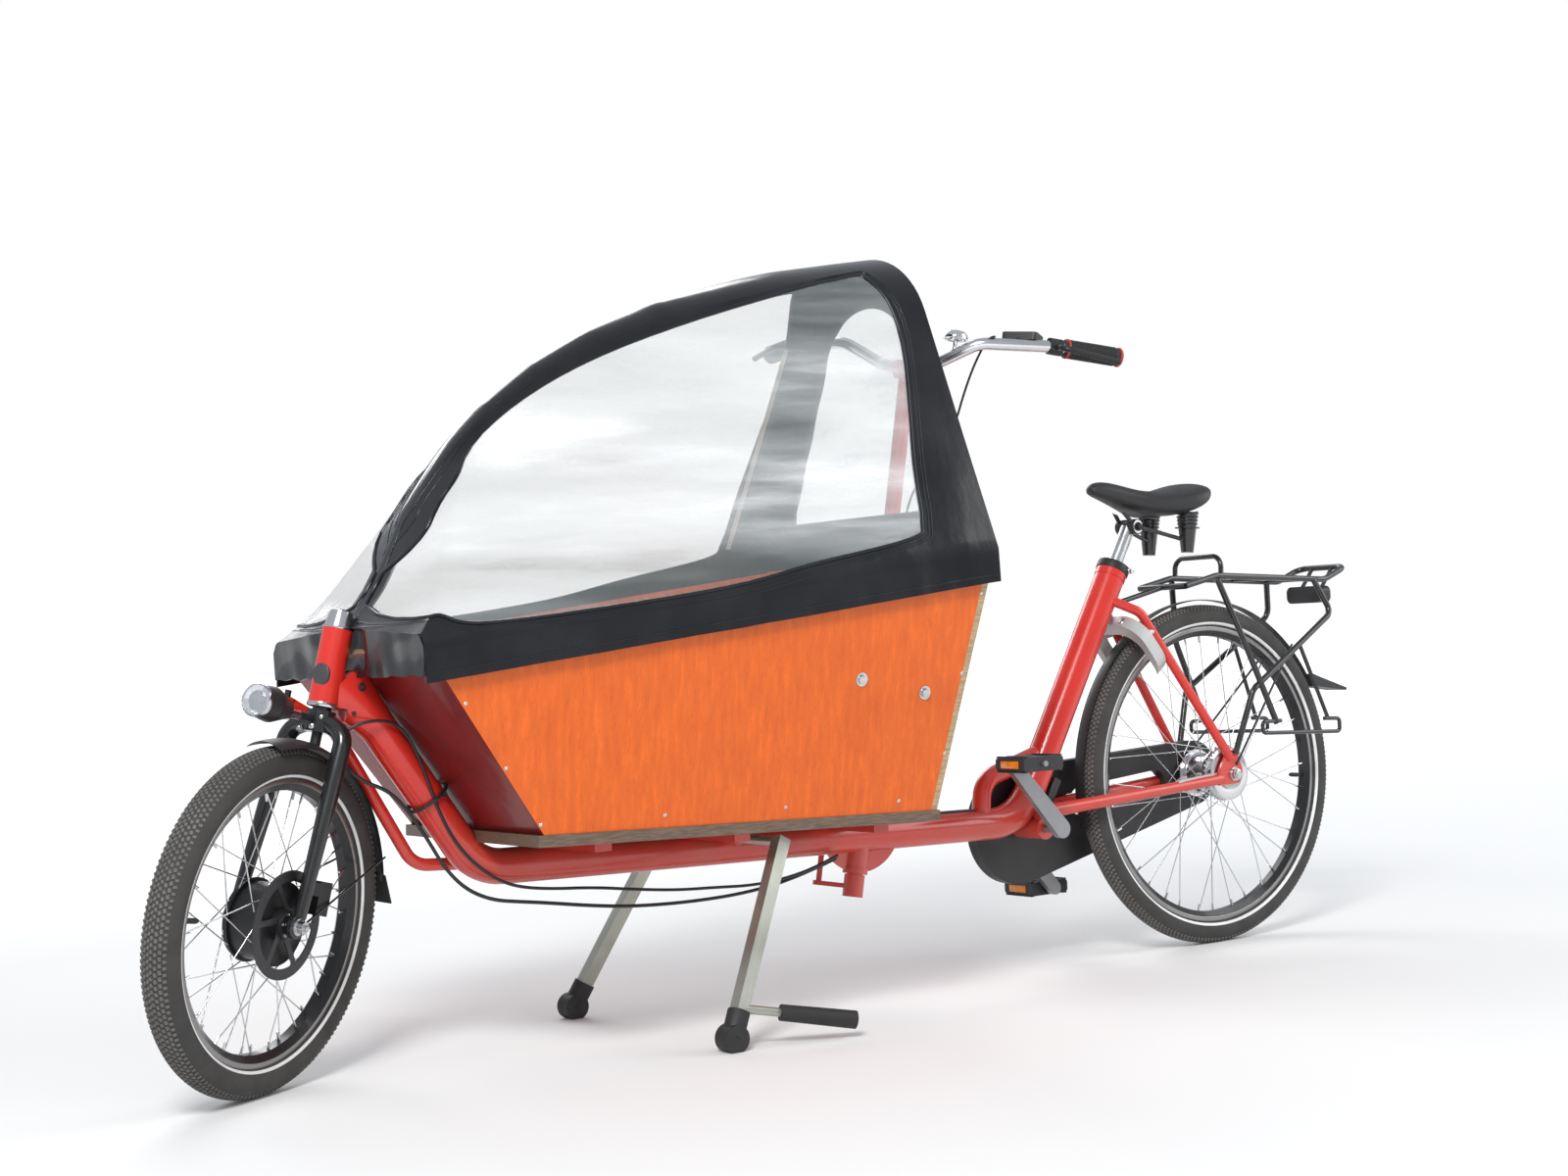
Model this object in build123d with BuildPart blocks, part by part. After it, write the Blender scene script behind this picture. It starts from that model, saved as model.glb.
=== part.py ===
from build123d import *
import os
from math import acos, atan2, cos, radians, sin

# Long two-wheeled electric cargo bike with a plywood box and a rain hood, parked on its two-legged stand.
# Millimetres. While the pieces are made, X runs backwards from the rear axle, Y to the rider's right and
# Z up from the floor. The last section moves everything so that the origin is under the middle of the bike.

# Wheels, hubs and rims
wheelbase = 1967.0
rear_tyre_r = 328.0
rear_tyre_w = 47.0
rear_rim_r = 286.0
rear_rim_w = 28.0
front_tyre_r = 257.0
front_tyre_w = 54.0
front_rim_r = 211.0
front_rim_w = 32.0
rim_depth = 18.0
spoke_r = 1.0
spoke_count = 36
spoke_gap = 1.3
axle_r = 5.0
axle_clear = 0.05

# Steering
head_angle = 75.0
fork_offset = 33.0
steer_now = 31.4
column_angle = 79.0
column_foot_x = -873.0
column_foot_z = 215.0
arm_length = 66.0

# Frame tubes
tube_r = 28.5
head_tube_r = 23.0
head_low = 329.0
head_high = 444.0
seat_angle = 59.6
seat_top_z = 737.0
bb_x = -458.0
bb_z = 262.0
dropout_y = 69.0
stay_r = 9.0
chain_stay_r = 13.0

# Plywood box and its floor
ply = 12.0
floor_thick = 18.0
floor_lip = 10.0
box_front_x = -1606.0
box_front_half = 218.0
box_front_z = 358.0
box_rear_x = -881.0
box_rear_half = 245.0
box_rear_z = 337.0
rim_front_x = -1803.0
rim_front_half = 257.0
rim_front_z = 639.0
rim_rear_x = -792.0
rim_rear_half = 319.0
rim_rear_z = 754.0

# Rain hood
hood_wall = 4.0
skirt_drop = 55.0
hood_gap = 1.0
rim_cover = 9.0

# Stand
stand_x = -1152.0
stand_z = 306.0
stand_half = 178.0
foot_x = -1306.0
foot_half = 243.0
leg_side = 22.0
shaft_r = 7.0

# Crankset and chain case
crank_length = 170.0
crank_rise = 131.3
case_in = 36.5
case_out = 62.0


def bar_between(start, end, r_start, r_end=None):
    """A straight round bar, tapered where two radii are given."""
    start, end = Vector(start), Vector(end)
    along = end - start
    with BuildPart() as bar:
        with BuildSketch(Plane(origin=start, z_dir=along)):
            Circle(r_start)
        if r_end is None or r_end == r_start:
            extrude(amount=along.length)
        else:
            with BuildSketch(Plane(origin=end, z_dir=along)):
                Circle(r_end)
            loft()
    return bar.part


def bent_tube(points, bends, radius):
    """A round tube that follows straight runs joined by tangent bends."""
    with BuildPart() as tube:
        with BuildLine() as route:
            FilletPolyline(*points, radius=bends)
        with BuildSketch(Plane(origin=route.line @ 0, z_dir=route.line % 0)):
            Circle(radius)
        sweep()
    return tube.part


def turned_on_y(centre, rows, bore=0.0):
    """Discs on one axle line: each row is (radius, from y, to y)."""
    with BuildPart() as turned:
        for radius, low, high in rows:
            with BuildSketch(Plane(origin=centre + Vector(0, low, 0), x_dir=(1, 0, 0), z_dir=(0, 1, 0))):
                Circle(radius)
            extrude(amount=high - low)
        if bore:
            with BuildSketch(Plane(origin=centre + Vector(0, -300, 0), x_dir=(1, 0, 0), z_dir=(0, 1, 0))):
                Circle(bore)
            extrude(amount=600, mode=Mode.SUBTRACT)
    return turned.part


def tyre_ring(centre, radius, width, rim_r, rim_w):
    """Tyre with bulged side walls and a rounded tread, seated on the rim."""
    height = radius - rim_r
    bead, bulge, shoulder = rim_w / 2, width / 2, 0.40 * width
    with BuildPart() as tyre:
        with BuildSketch(Plane(origin=centre, x_dir=(0, 1, 0), z_dir=(1, 0, 0))):
            with BuildLine():
                ThreePointArc((-bead, rim_r), (-bulge, rim_r + 0.42 * height), (-shoulder, rim_r + 0.80 * height))
                ThreePointArc((-shoulder, rim_r + 0.80 * height), (0, radius), (shoulder, rim_r + 0.80 * height))
                ThreePointArc((shoulder, rim_r + 0.80 * height), (bulge, rim_r + 0.42 * height), (bead, rim_r))
                Line((bead, rim_r), (-bead, rim_r))
            make_face()
        revolve(axis=Axis(centre, (0, 1, 0)))
    return tyre.part


def rim_ring(centre, rim_r, rim_w):
    """Box-section rim that narrows towards the spokes."""
    with BuildPart() as rim:
        with BuildSketch(Plane(origin=centre, x_dir=(0, 1, 0), z_dir=(1, 0, 0))):
            with BuildLine():
                Polyline(
                    (-rim_w / 2, rim_r), (-rim_w / 2, rim_r - 8), (-rim_w / 4, rim_r - rim_depth),
                    (rim_w / 4, rim_r - rim_depth), (rim_w / 2, rim_r - 8), (rim_w / 2, rim_r), close=True)
            make_face()
        revolve(axis=Axis(centre, (0, 1, 0)))
    return rim.part


def laced_spokes(centre, flange_r, flange_y, rim_r, lacing):
    """Crossed spokes from both flanges to the rim, the leading ones outside the trailing ones."""
    inner, outer = flange_r + spoke_gap, rim_r - rim_depth - 0.6
    with BuildPart() as lace:
        for i in range(spoke_count):
            side = 1 if i % 2 else -1
            lead = 1 if (i // 2) % 2 else -1
            rim_turn = radians(360 / spoke_count * i)
            hub_turn = rim_turn + radians(lead * lacing)
            start = centre + Vector(inner * cos(hub_turn), side * (flange_y + 2.2 * lead), inner * sin(hub_turn))
            end = centre + Vector(outer * cos(rim_turn), side * (3.0 + 1.6 * lead), outer * sin(rim_turn))
            with BuildSketch(Plane(origin=start, z_dir=end - start)):
                Circle(spoke_r)
            extrude(amount=(end - start).length)
    return lace.part


# Rear wheel: tyre, rim, spokes and gear hub, which turn together on a fixed axle
rear_centre = Vector(0, 0, rear_tyre_r)
hub_flange_r, hub_flange_y = 46.0, 29.0
rear_tyre = tyre_ring(rear_centre, rear_tyre_r, rear_tyre_w, rear_rim_r, rear_rim_w)
rear_rim = rim_ring(rear_centre, rear_rim_r, rear_rim_w)
rear_spokes = laced_spokes(rear_centre, hub_flange_r, hub_flange_y, rear_rim_r, 60)
hub_rows = [
    (hub_flange_r, -hub_flange_y - 1.5, -hub_flange_y + 1.5),
    (38.0, -hub_flange_y, hub_flange_y),
    (hub_flange_r, hub_flange_y - 1.5, hub_flange_y + 1.5),
    (22.0, -40.0, 34.0),
]
rear_hub = turned_on_y(rear_centre, hub_rows, axle_r + axle_clear)
rear_axle = turned_on_y(rear_centre, [(axle_r, -86.0, 86.0), (11.0, -81.0, -dropout_y - 3), (11.0, dropout_y + 3, 81.0)])

# Front wheel, in the fork's own frame: X forward, Y to the left, Z up the steering axis
front_centre = Vector(fork_offset, 0, 0)
motor_flange_r, motor_flange_y = 62.0, 24.0
front_tyre = tyre_ring(front_centre, front_tyre_r, front_tyre_w, front_rim_r, front_rim_w)
front_rim = rim_ring(front_centre, front_rim_r, front_rim_w)
front_spokes = laced_spokes(front_centre, motor_flange_r, motor_flange_y, front_rim_r, 40)
motor_rows = [
    (motor_flange_r, -motor_flange_y - 1.5, -motor_flange_y + 1.5),
    (57.0, -34.0, motor_flange_y),
    (motor_flange_r, motor_flange_y - 1.5, motor_flange_y + 1.5),
    (24.0, -44.0, 36.0),
]
front_motor = turned_on_y(front_centre, motor_rows, axle_r + axle_clear)
front_axle = turned_on_y(front_centre, [(axle_r, -74.0, 74.0), (9.0, -70.0, -57.0), (9.0, 57.0, 70.0)])

# Disc rotor bolted to the left of the motor: a flat ring on six slanted arms
rotor_r = 80.0
rotor_inner_r = 64.0
with BuildPart() as brake_disc:
    with BuildSketch(Plane(origin=front_centre + Vector(0, 36, 0), x_dir=(1, 0, 0), z_dir=(0, 1, 0))):
        Circle(rotor_r)
        Circle(rotor_inner_r, mode=Mode.SUBTRACT)
        with PolarLocations(42, 6):
            Rectangle(52, 9, rotation=14)
        Circle(24)
    extrude(amount=2)
    add(turned_on_y(front_centre, [(22.0, 38.0, 44.0)]))
    add(turned_on_y(front_centre, [(axle_r + axle_clear, 0, 60)]), mode=Mode.SUBTRACT)

# Fork: round crown and steerer, curved shoulders, tapered raked blades, dropouts, and the steering arm
blade_y = 50.0
crown_w = 304.0
rod_front_w = 326.0
pin_top = 344.0
dropout_in = 50.0
with BuildPart() as fork:
    add(bar_between((0, 0, crown_w - 18), (0, 0, head_low - 10), 22.0))
    add(bar_between((0, 0, head_low - 10), (0, 0, head_high - 2), 14.0))
    for side in (1, -1):
        hip = Vector(2, side * blade_y, crown_w - 18)
        tip = Vector(fork_offset, side * (dropout_in + 7), 13)
        knee = hip + (tip - hip) * 0.2
        add(bent_tube([(0, side * 8, crown_w + 2), hip, knee], [28], 14.0))
        add(bar_between(knee, tip, 14.0, 9.5))
        with BuildSketch(Plane(origin=(fork_offset, side * dropout_in, 0), x_dir=(1, 0, 0), z_dir=(0, side, 0))):
            Circle(18)
        extrude(amount=7)
    # The arm on the crown's right carries the pin of the steering rod.
    with BuildSketch(Plane.XY.offset(crown_w - 4)):
        with Locations((0, -arm_length / 2)):
            SlotCenterToCenter(arm_length, 24, rotation=90)
    extrude(amount=10)
    add(bar_between((0, -arm_length, crown_w), (0, -arm_length, pin_top), 5.0))
    add(front_axle, mode=Mode.SUBTRACT)

# Front mudguard: curved sheet round the tyre, with a flared lip, carried by a bracket under the crown
guard_gap = 10.0
guard_wall = 1.6
guard_back = -70.0


def mudguard(centre, tyre_r, half_width, first, last):
    """Arched strip round a tyre, between two angles counted from +Z towards +X."""
    inner = tyre_r + guard_gap
    with BuildPart() as strip:
        turn = radians(first)
        radial = Vector(sin(turn), 0, cos(turn))
        with BuildSketch(Plane(origin=centre, x_dir=(0, 1, 0), z_dir=Vector(0, 1, 0).cross(radial))):
            with BuildLine():
                ThreePointArc((-half_width, inner - 10), (0, inner), (half_width, inner - 10))
                Line((half_width, inner - 10), (half_width + guard_wall, inner - 10))
                ThreePointArc(
                    (half_width + guard_wall, inner - 10), (0, inner + guard_wall), (-half_width - guard_wall, inner - 10))
                Line((-half_width - guard_wall, inner - 10), (-half_width, inner - 10))
            make_face()
        revolve(axis=Axis(centre, (0, 1, 0)), revolution_arc=last - first)
    return strip.part


with BuildPart() as front_mudguard:
    add(mudguard(front_centre, front_tyre_r, 30.0, guard_back, 20))
    # A flared rubber flap lengthens the rear end.
    back_turn = radians(guard_back + 2)
    outward = Vector(sin(back_turn), 0, cos(back_turn))
    onward = Vector(-cos(back_turn), 0, sin(back_turn))
    flap_foot = front_centre + outward * (front_tyre_r + guard_gap - 3)
    with BuildSketch(Plane(origin=flap_foot, x_dir=(0, 1, 0), z_dir=onward)):
        Rectangle(58, 3)
    with BuildSketch(Plane(origin=flap_foot + onward * 46 + outward * 5, x_dir=(0, 1, 0), z_dir=onward)):
        Rectangle(72, 3)
    loft()
    crown_under = crown_w - 18
    guard_top = front_tyre_r + guard_gap
    add(bar_between((0, 0, guard_top - 4), (0, 0, crown_under), 8.0))

# Headlamp: round body with a domed lens, on a bracket from the fork crown
lamp_at = Vector(160, 0, 306)
with BuildPart() as headlamp:
    add(bar_between(lamp_at, lamp_at + Vector(-32, 0, 0), 24.0, 26.5))
    add(bar_between(lamp_at + Vector(-32, 0, 0), lamp_at + Vector(-70, 0, 0), 26.5, 15.0))
    add(bar_between((14, 0, crown_w + 2), lamp_at + Vector(-48, 0, -6), 6.0))
    add(fork.part, mode=Mode.SUBTRACT)
with BuildPart() as headlamp_lens:
    add(bar_between(lamp_at + Vector(0.3, 0, 0), lamp_at + Vector(10, 0, 0), 22.5, 16.0))

# Disc caliper behind the left blade, on a tab that reaches the blade
with BuildPart() as front_caliper:
    with BuildSketch(Plane(origin=(fork_offset - 58, 41, 46), x_dir=(1, 0, 0), z_dir=(0, -1, 0))):
        Rectangle(30, 50)
    extrude(amount=12, both=True)
    with BuildSketch(Plane(origin=(fork_offset - 32, 50, 58), x_dir=(1, 0, 0), z_dir=(0, -1, 0))):
        Rectangle(50, 20)
    extrude(amount=3, both=True)
    with BuildSketch(Plane(origin=front_centre + Vector(0, 37, 0), x_dir=(1, 0, 0), z_dir=(0, -1, 0))):
        Circle(rotor_r + 3)
    extrude(amount=4, both=True, mode=Mode.SUBTRACT)
    add(fork.part, mode=Mode.SUBTRACT)

# Head tube, main tube and seat tube in one line, with a head gusset and a step tube over the cranks
lean = radians(head_angle)
steer_foot = Vector(-wheelbase + fork_offset * sin(lean), 0, front_tyre_r - fork_offset * cos(lean))
steer_axis = Vector(cos(lean), 0, sin(lean))
fork_place = Plane(origin=steer_foot, x_dir=(-sin(lean), 0, cos(lean)), z_dir=steer_axis).location * Rot(0, 0, steer_now)
seat_lean = radians(seat_angle)
seat_axis = Vector(cos(seat_lean), 0, sin(seat_lean))
seat_corner = Vector(-493, 0, 275)
seat_top = seat_corner + seat_axis * ((seat_top_z - seat_corner.Z) / seat_axis.Z)
main_corner = Vector(-1607, 0, 298)
neck = Vector(-1762, 0, 526)
down_axis = (main_corner - neck).normalized()
head_mid = steer_foot + steer_axis * ((head_low + head_high) / 2)
column_lean = radians(column_angle)
column_axis = Vector(cos(column_lean), 0, sin(column_lean))
column_foot = Vector(column_foot_x, 0, column_foot_z)
column_place = (
    Plane(origin=column_foot, x_dir=(-sin(column_lean), 0, cos(column_lean)), z_dir=column_axis).location
    * Rot(0, 0, steer_now))
column_r = 14.0
post_r = 13.6
spindle_r = 8.5
gusset_drop = -9.0
gusset_half = 46.0
bearer_deep = 16.0
bearer_rows = [(-1480.0, 175.0), (-1230.0, 185.0), (-960.0, 195.0)]


def floor_z(x):
    """Height of the box floor's top, which rises a little towards the front."""
    slope = (box_front_z - box_rear_z) / (box_rear_x - box_front_x)
    return box_rear_z + (box_rear_x - x) * slope


# Box floor, with a groove over the main tube
floor_slope = Vector(box_rear_x - box_front_x, 0, box_rear_z - box_front_z)
floor_plane = Plane(origin=(box_rear_x, 0, box_rear_z), x_dir=floor_slope, z_dir=(-floor_slope.Z, 0, floor_slope.X))
with BuildPart() as box_floor:
    with BuildSketch(floor_plane):
        with BuildLine():
            Polyline(
                (-floor_slope.length - floor_lip, -box_front_half - 2), (floor_lip / 2, -box_rear_half - 2),
                (floor_lip / 2, box_rear_half + 2), (-floor_slope.length - floor_lip, box_front_half + 2), close=True)
        make_face()
    extrude(amount=-floor_thick)
    add(bent_tube([neck, main_corner, seat_corner], [90], tube_r + 2), mode=Mode.SUBTRACT)


def head_gusset(grow):
    """The tall oval that joins the main tube to the head tube, thickened where a clearance is cut."""
    with BuildPart() as body:
        with BuildSketch(Plane(origin=neck - down_axis * 96, x_dir=(0, 1, 0), z_dir=down_axis)):
            with Locations((0, gusset_drop)):
                Ellipse(20 + grow, gusset_half + grow)
        with BuildSketch(Plane(origin=neck, x_dir=(0, 1, 0), z_dir=down_axis)):
            Circle(tube_r + grow)
        loft()
    return body.part


main_tube = bent_tube([neck, main_corner, seat_corner, seat_top], [90, 110], tube_r)
with BuildPart() as main_frame:
    add(main_tube)
    add(bar_between(steer_foot + steer_axis * head_low, steer_foot + steer_axis * head_high, head_tube_r))
    add(head_gusset(0))
    # The step tube rises from the main tube and meets the seat tube above the cranks.
    add(bent_tube([(-582, 0, 278), (-574, 0, 356), (-440, 0, 394)], [45], 17.0))
    add(turned_on_y(Vector(bb_x, 0, bb_z), [(21.0, -36.0, 36.0)]))
    add(bar_between(seat_top - seat_axis * 26, seat_top + seat_axis * 2, tube_r + 1.2))
    # Steering column housing, with the half-moon gusset and bearing collar under the main tube
    add(bar_between(column_foot + column_axis * 8, column_foot + column_axis * 150, 20.0))
    add(bar_between(column_foot + column_axis * 2, column_foot + column_axis * 12, 22.0))
    with BuildSketch(Plane(origin=(0, 3, 0), x_dir=(1, 0, 0), z_dir=(0, -1, 0))):
        with BuildLine():
            ThreePointArc((-933, 262), (-858, 218), (-779, 262))
            Line((-779, 262), (-933, 262))
        make_face()
    extrude(amount=6)
    add(box_floor.part, mode=Mode.SUBTRACT)
    add(bar_between(steer_foot + steer_axis * 240, steer_foot + steer_axis * (head_low - 1), 38.0), mode=Mode.SUBTRACT)
    # Bores: steerer, seat post, crank spindle, steering column and stand shaft
    add(bar_between(steer_foot + steer_axis * 200, steer_foot + steer_axis * (head_high + 30), 14.05), mode=Mode.SUBTRACT)
    add(bar_between(seat_top - seat_axis * 90, seat_top + seat_axis * 30, post_r), mode=Mode.SUBTRACT)
    add(turned_on_y(Vector(bb_x, 0, bb_z), [(spindle_r + 0.05, -80, 80)]), mode=Mode.SUBTRACT)
    add(bar_between(column_foot - column_axis * 30, column_foot + column_axis * 200, column_r + 0.05), mode=Mode.SUBTRACT)
    add(turned_on_y(Vector(stand_x, 0, stand_z), [(shaft_r + 0.05, -80, 80)]), mode=Mode.SUBTRACT)

# Flat bearers under the box floor, and the stand's cross bush on both sides of the main tube
with BuildPart() as cross_members:
    for bearer_x, bearer_half in bearer_rows:
        top = floor_z(bearer_x) - floor_thick
        with BuildSketch(Plane.XY.offset(top - bearer_deep)):
            with Locations((bearer_x, 0)):
                Rectangle(30, 2 * bearer_half)
        extrude(amount=bearer_deep + 1)
    add(turned_on_y(Vector(stand_x, 0, stand_z), [(11.0, -60.0, 60.0)]))
    add(box_floor.part, mode=Mode.SUBTRACT)
    add(main_tube, mode=Mode.SUBTRACT)
    add(turned_on_y(Vector(stand_x, 0, stand_z), [(shaft_r + 0.05, -80, 80)]), mode=Mode.SUBTRACT)

# Polished headset cap with a ball-headed bolt
with BuildPart() as headset_cap:
    cap_foot = steer_foot + steer_axis * head_high
    add(bar_between(cap_foot, cap_foot + steer_axis * 27, 22.5, 17.0))
    add(bar_between(cap_foot + steer_axis * 27, cap_foot + steer_axis * 31, 4.0))

# Chain stays, seat stays, bridge and dropouts, welded to the seat tube
with BuildPart() as rear_stays:
    for side in (1, -1):
        drop = Vector(-8, side * (dropout_y + 3), rear_tyre_r + 30)
        add(bent_tube([(-262, side * 14, 678), (-203, side * 46, 648), drop], [38], stay_r))
        add(bar_between((-472, side * 29, 289), (-30, side * (dropout_y - 2), rear_tyre_r - 8), chain_stay_r, 10.0))
        with BuildSketch(Plane(origin=(0, side * dropout_y, 0), x_dir=(1, 0, 0), z_dir=(0, -1, 0))):
            with BuildLine():
                Polyline(
                    (-40, rear_tyre_r - 20), (14, rear_tyre_r - 18), (24, rear_tyre_r + 8),
                    (8, rear_tyre_r + 46), (-14, rear_tyre_r + 46), (-40, rear_tyre_r + 4), close=True)
            make_face()
        extrude(amount=3, both=True)
    add(bar_between((-190, -50, 619), (-190, 50, 619), 8.0))
    add(bar_between((-346, -38, 296), (-346, 38, 296), 9.0))
    add(main_frame.part, mode=Mode.SUBTRACT)
    add(main_tube, mode=Mode.SUBTRACT)
    add(bar_between(seat_top - seat_axis * 120, seat_top + seat_axis * 30, tube_r), mode=Mode.SUBTRACT)
    add(turned_on_y(Vector(bb_x, 0, bb_z), [(21.0, -60, 60)]), mode=Mode.SUBTRACT)
    add(turned_on_y(rear_centre, [(axle_r, -100, 100)]), mode=Mode.SUBTRACT)

# Roller brake on the left of the rear hub, held still by its arm on the chain stay
brake_rows = [(50.0, -60.0, -43.0), (30.0, -dropout_y + 3, -60.0)]
with BuildPart() as rear_brake:
    add(turned_on_y(rear_centre, brake_rows))
    with BuildSketch(Plane(origin=rear_centre + Vector(0, -60, 0), x_dir=(1, 0, 0), z_dir=(0, -1, 0))):
        with Locations((-72, -8)):
            Rectangle(140, 20, rotation=4)
    extrude(amount=5)
    add(rear_stays.part, mode=Mode.SUBTRACT)
    add(turned_on_y(rear_centre, [(axle_r, -100, 100)]), mode=Mode.SUBTRACT)

# Rear mudguard with a flared flap, from behind the cranks round to the back
with BuildPart() as rear_mudguard:
    add(mudguard(rear_centre, rear_tyre_r, 28.5, -104, 62))
    with BuildSketch(Plane(origin=(0, 26, 0), x_dir=(1, 0, 0), z_dir=(0, -1, 0))):
        with BuildLine():
            Polyline((290, 490), (300, 482), (386, 470), (388, 475), (306, 502), (290, 508), close=True)
        make_face()
    extrude(amount=52)
    add(turned_on_y(rear_centre, [(rear_tyre_r + guard_gap, -60, 60)]), mode=Mode.SUBTRACT)
    for side in (1, -1):
        add(bar_between((6, side * 74, 346), (228, side * 29, 570), 2.2))
    add(rear_stays.part, mode=Mode.SUBTRACT)
    add(main_frame.part, mode=Mode.SUBTRACT)

# Full chain case on the right, round the chainring and the hub, open where the chain stay passes through
case_front_r, case_rear_r = 107.0, 63.0
with BuildPart() as chain_case:
    with BuildSketch(Plane(origin=(0, case_in, 0), x_dir=(-1, 0, 0), z_dir=(0, 1, 0))):
        with Locations((-bb_x, bb_z)):
            Circle(case_front_r)
        with Locations((0, rear_tyre_r)):
            Circle(case_rear_r)
        make_hull()
        # The window between the upper and the lower run
        with Locations((204, 305)):
            SlotCenterToCenter(200, 54, rotation=-5, mode=Mode.SUBTRACT)
    extrude(amount=case_out - case_in)
    add(rear_stays.part, mode=Mode.SUBTRACT)
    add(turned_on_y(rear_centre, [(axle_r, -100, 100)]), mode=Mode.SUBTRACT)
    add(turned_on_y(Vector(bb_x, 0, bb_z), [(14.0, 30, 100)]), mode=Mode.SUBTRACT)
    add(bar_between((-450, 30, 292), (-30, dropout_y - 2, rear_tyre_r - 8), chain_stay_r + 1, 11.0), mode=Mode.SUBTRACT)

# Cranks, on one spindle, in the position of the photo
crank_turn = radians(crank_rise)
crank_reach = Vector(crank_length * cos(crank_turn), 0, crank_length * sin(crank_turn))
bb_centre = Vector(bb_x, 0, bb_z)
crank_thick = 13.0
crank_y = {"left": -70.0, "right": 70.0}
with BuildPart() as crankset:
    add(turned_on_y(bb_centre, [(spindle_r, crank_y["left"], crank_y["right"])]))
    for side, name in ((-1, "left"), (1, "right")):
        end = bb_centre - crank_reach * side
        base = Plane(origin=(0, crank_y[name], 0), x_dir=(-side, 0, 0), z_dir=(0, side, 0))
        root_at, tip_at = base.to_local_coords(bb_centre), base.to_local_coords(end)
        with BuildSketch(base):
            with Locations((root_at.X, root_at.Y)):
                Circle(17)
            with Locations((tip_at.X, tip_at.Y)):
                Circle(12.5)
            make_hull()
        extrude(amount=crank_thick)
        pin = Vector(end.X, crank_y[name] + side * crank_thick, end.Z)
        add(bar_between(pin, pin + Vector(0, side * 88, 0), 5.0))

# Block pedals that turn on the crank pins
pedal_parts = {}
for side, name in ((-1, "left"), (1, "right")):
    end = bb_centre - crank_reach * side
    inner_y = crank_y[name] + side * (crank_thick + 6)
    with BuildPart() as pedal:
        with BuildSketch(Plane(origin=(0, inner_y + side * 38, 0), x_dir=(1, 0, 0), z_dir=(0, -1, 0))):
            with Locations((end.X, end.Z)):
                RectangleRounded(92, 26, 8)
        extrude(amount=38, both=True)
        with BuildSketch(Plane(origin=(end.X, inner_y + side * 38, end.Z - 20))):
            with Locations((-25, 0), (25, 0)):
                RectangleRounded(26, 56, 5)
        extrude(amount=40, mode=Mode.SUBTRACT)
        add(bar_between((end.X, inner_y - side * 3, end.Z), (end.X, inner_y + side * 90, end.Z), 5.05), mode=Mode.SUBTRACT)
    pedal_parts[name] = pedal.part

# Seat post and clamp, saddle on two coil springs
saddle_mid = Vector(-140, 0, 866)
post_top = seat_top + seat_axis * 84
with BuildPart() as seat_post:
    add(bar_between(seat_top - seat_axis * 88, post_top, post_r))
    add(turned_on_y(post_top + Vector(4, 0, 2), [(13.0, -24.0, 24.0)]))
with BuildPart() as saddle:
    saddle_rows = [
        (-272, 868, 14, 26), (-240, 868, 24, 42), (-175, 856, 40, 54),
        (-110, 848, 74, 56), (-55, 856, 90, 56), (-20, 866, 66, 34)]
    for x, z, half, tall in saddle_rows:
        with BuildSketch(Plane(origin=(x, 0, z), x_dir=(0, 1, 0), z_dir=(1, 0, 0))):
            Ellipse(half, tall / 2)
    loft()
with BuildPart() as saddle_springs:
    for side in (1, -1):
        add(bar_between((-76, side * 52, 758), (-70, side * 52, 840), 12.0, 21.0))
        add(bar_between((post_top.X + 6, side * 22, post_top.Z + 2), (-74, side * 48, 782), 4.0))
        add(bar_between((post_top.X, side * 18, post_top.Z + 4), (-218, side * 8, 860), 4.0))
    add(saddle.part, mode=Mode.SUBTRACT)
    add(seat_post.part, mode=Mode.SUBTRACT)

# Ring lock: a horseshoe round the rim, in a plane through the hub, bolted to the seat stays
lock_turn = radians(128)
lock_out = Vector(cos(lock_turn), 0, sin(lock_turn))
with BuildPart() as ring_lock:
    with BuildSketch(Plane(origin=rear_centre + lock_out * 318, x_dir=(0, 1, 0), z_dir=Vector(0, 1, 0).cross(lock_out))):
        with Locations((0, 3)):
            RectangleRounded(144, 134, 50)
        with Locations((0, -16)):
            RectangleRounded(112, 126, 44, mode=Mode.SUBTRACT)
        with Locations((0, -84)):
            Rectangle(200, 60, mode=Mode.SUBTRACT)
    extrude(amount=13, both=True)
    for side in (1, -1):
        lug = rear_centre + lock_out * 348 + Vector(0, side * 55, 0)
        add(bar_between(lug, Vector(-178, side * 52, 611), 6.0))
    add(rear_stays.part, mode=Mode.SUBTRACT)
    add(rear_mudguard.part, mode=Mode.SUBTRACT)

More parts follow.
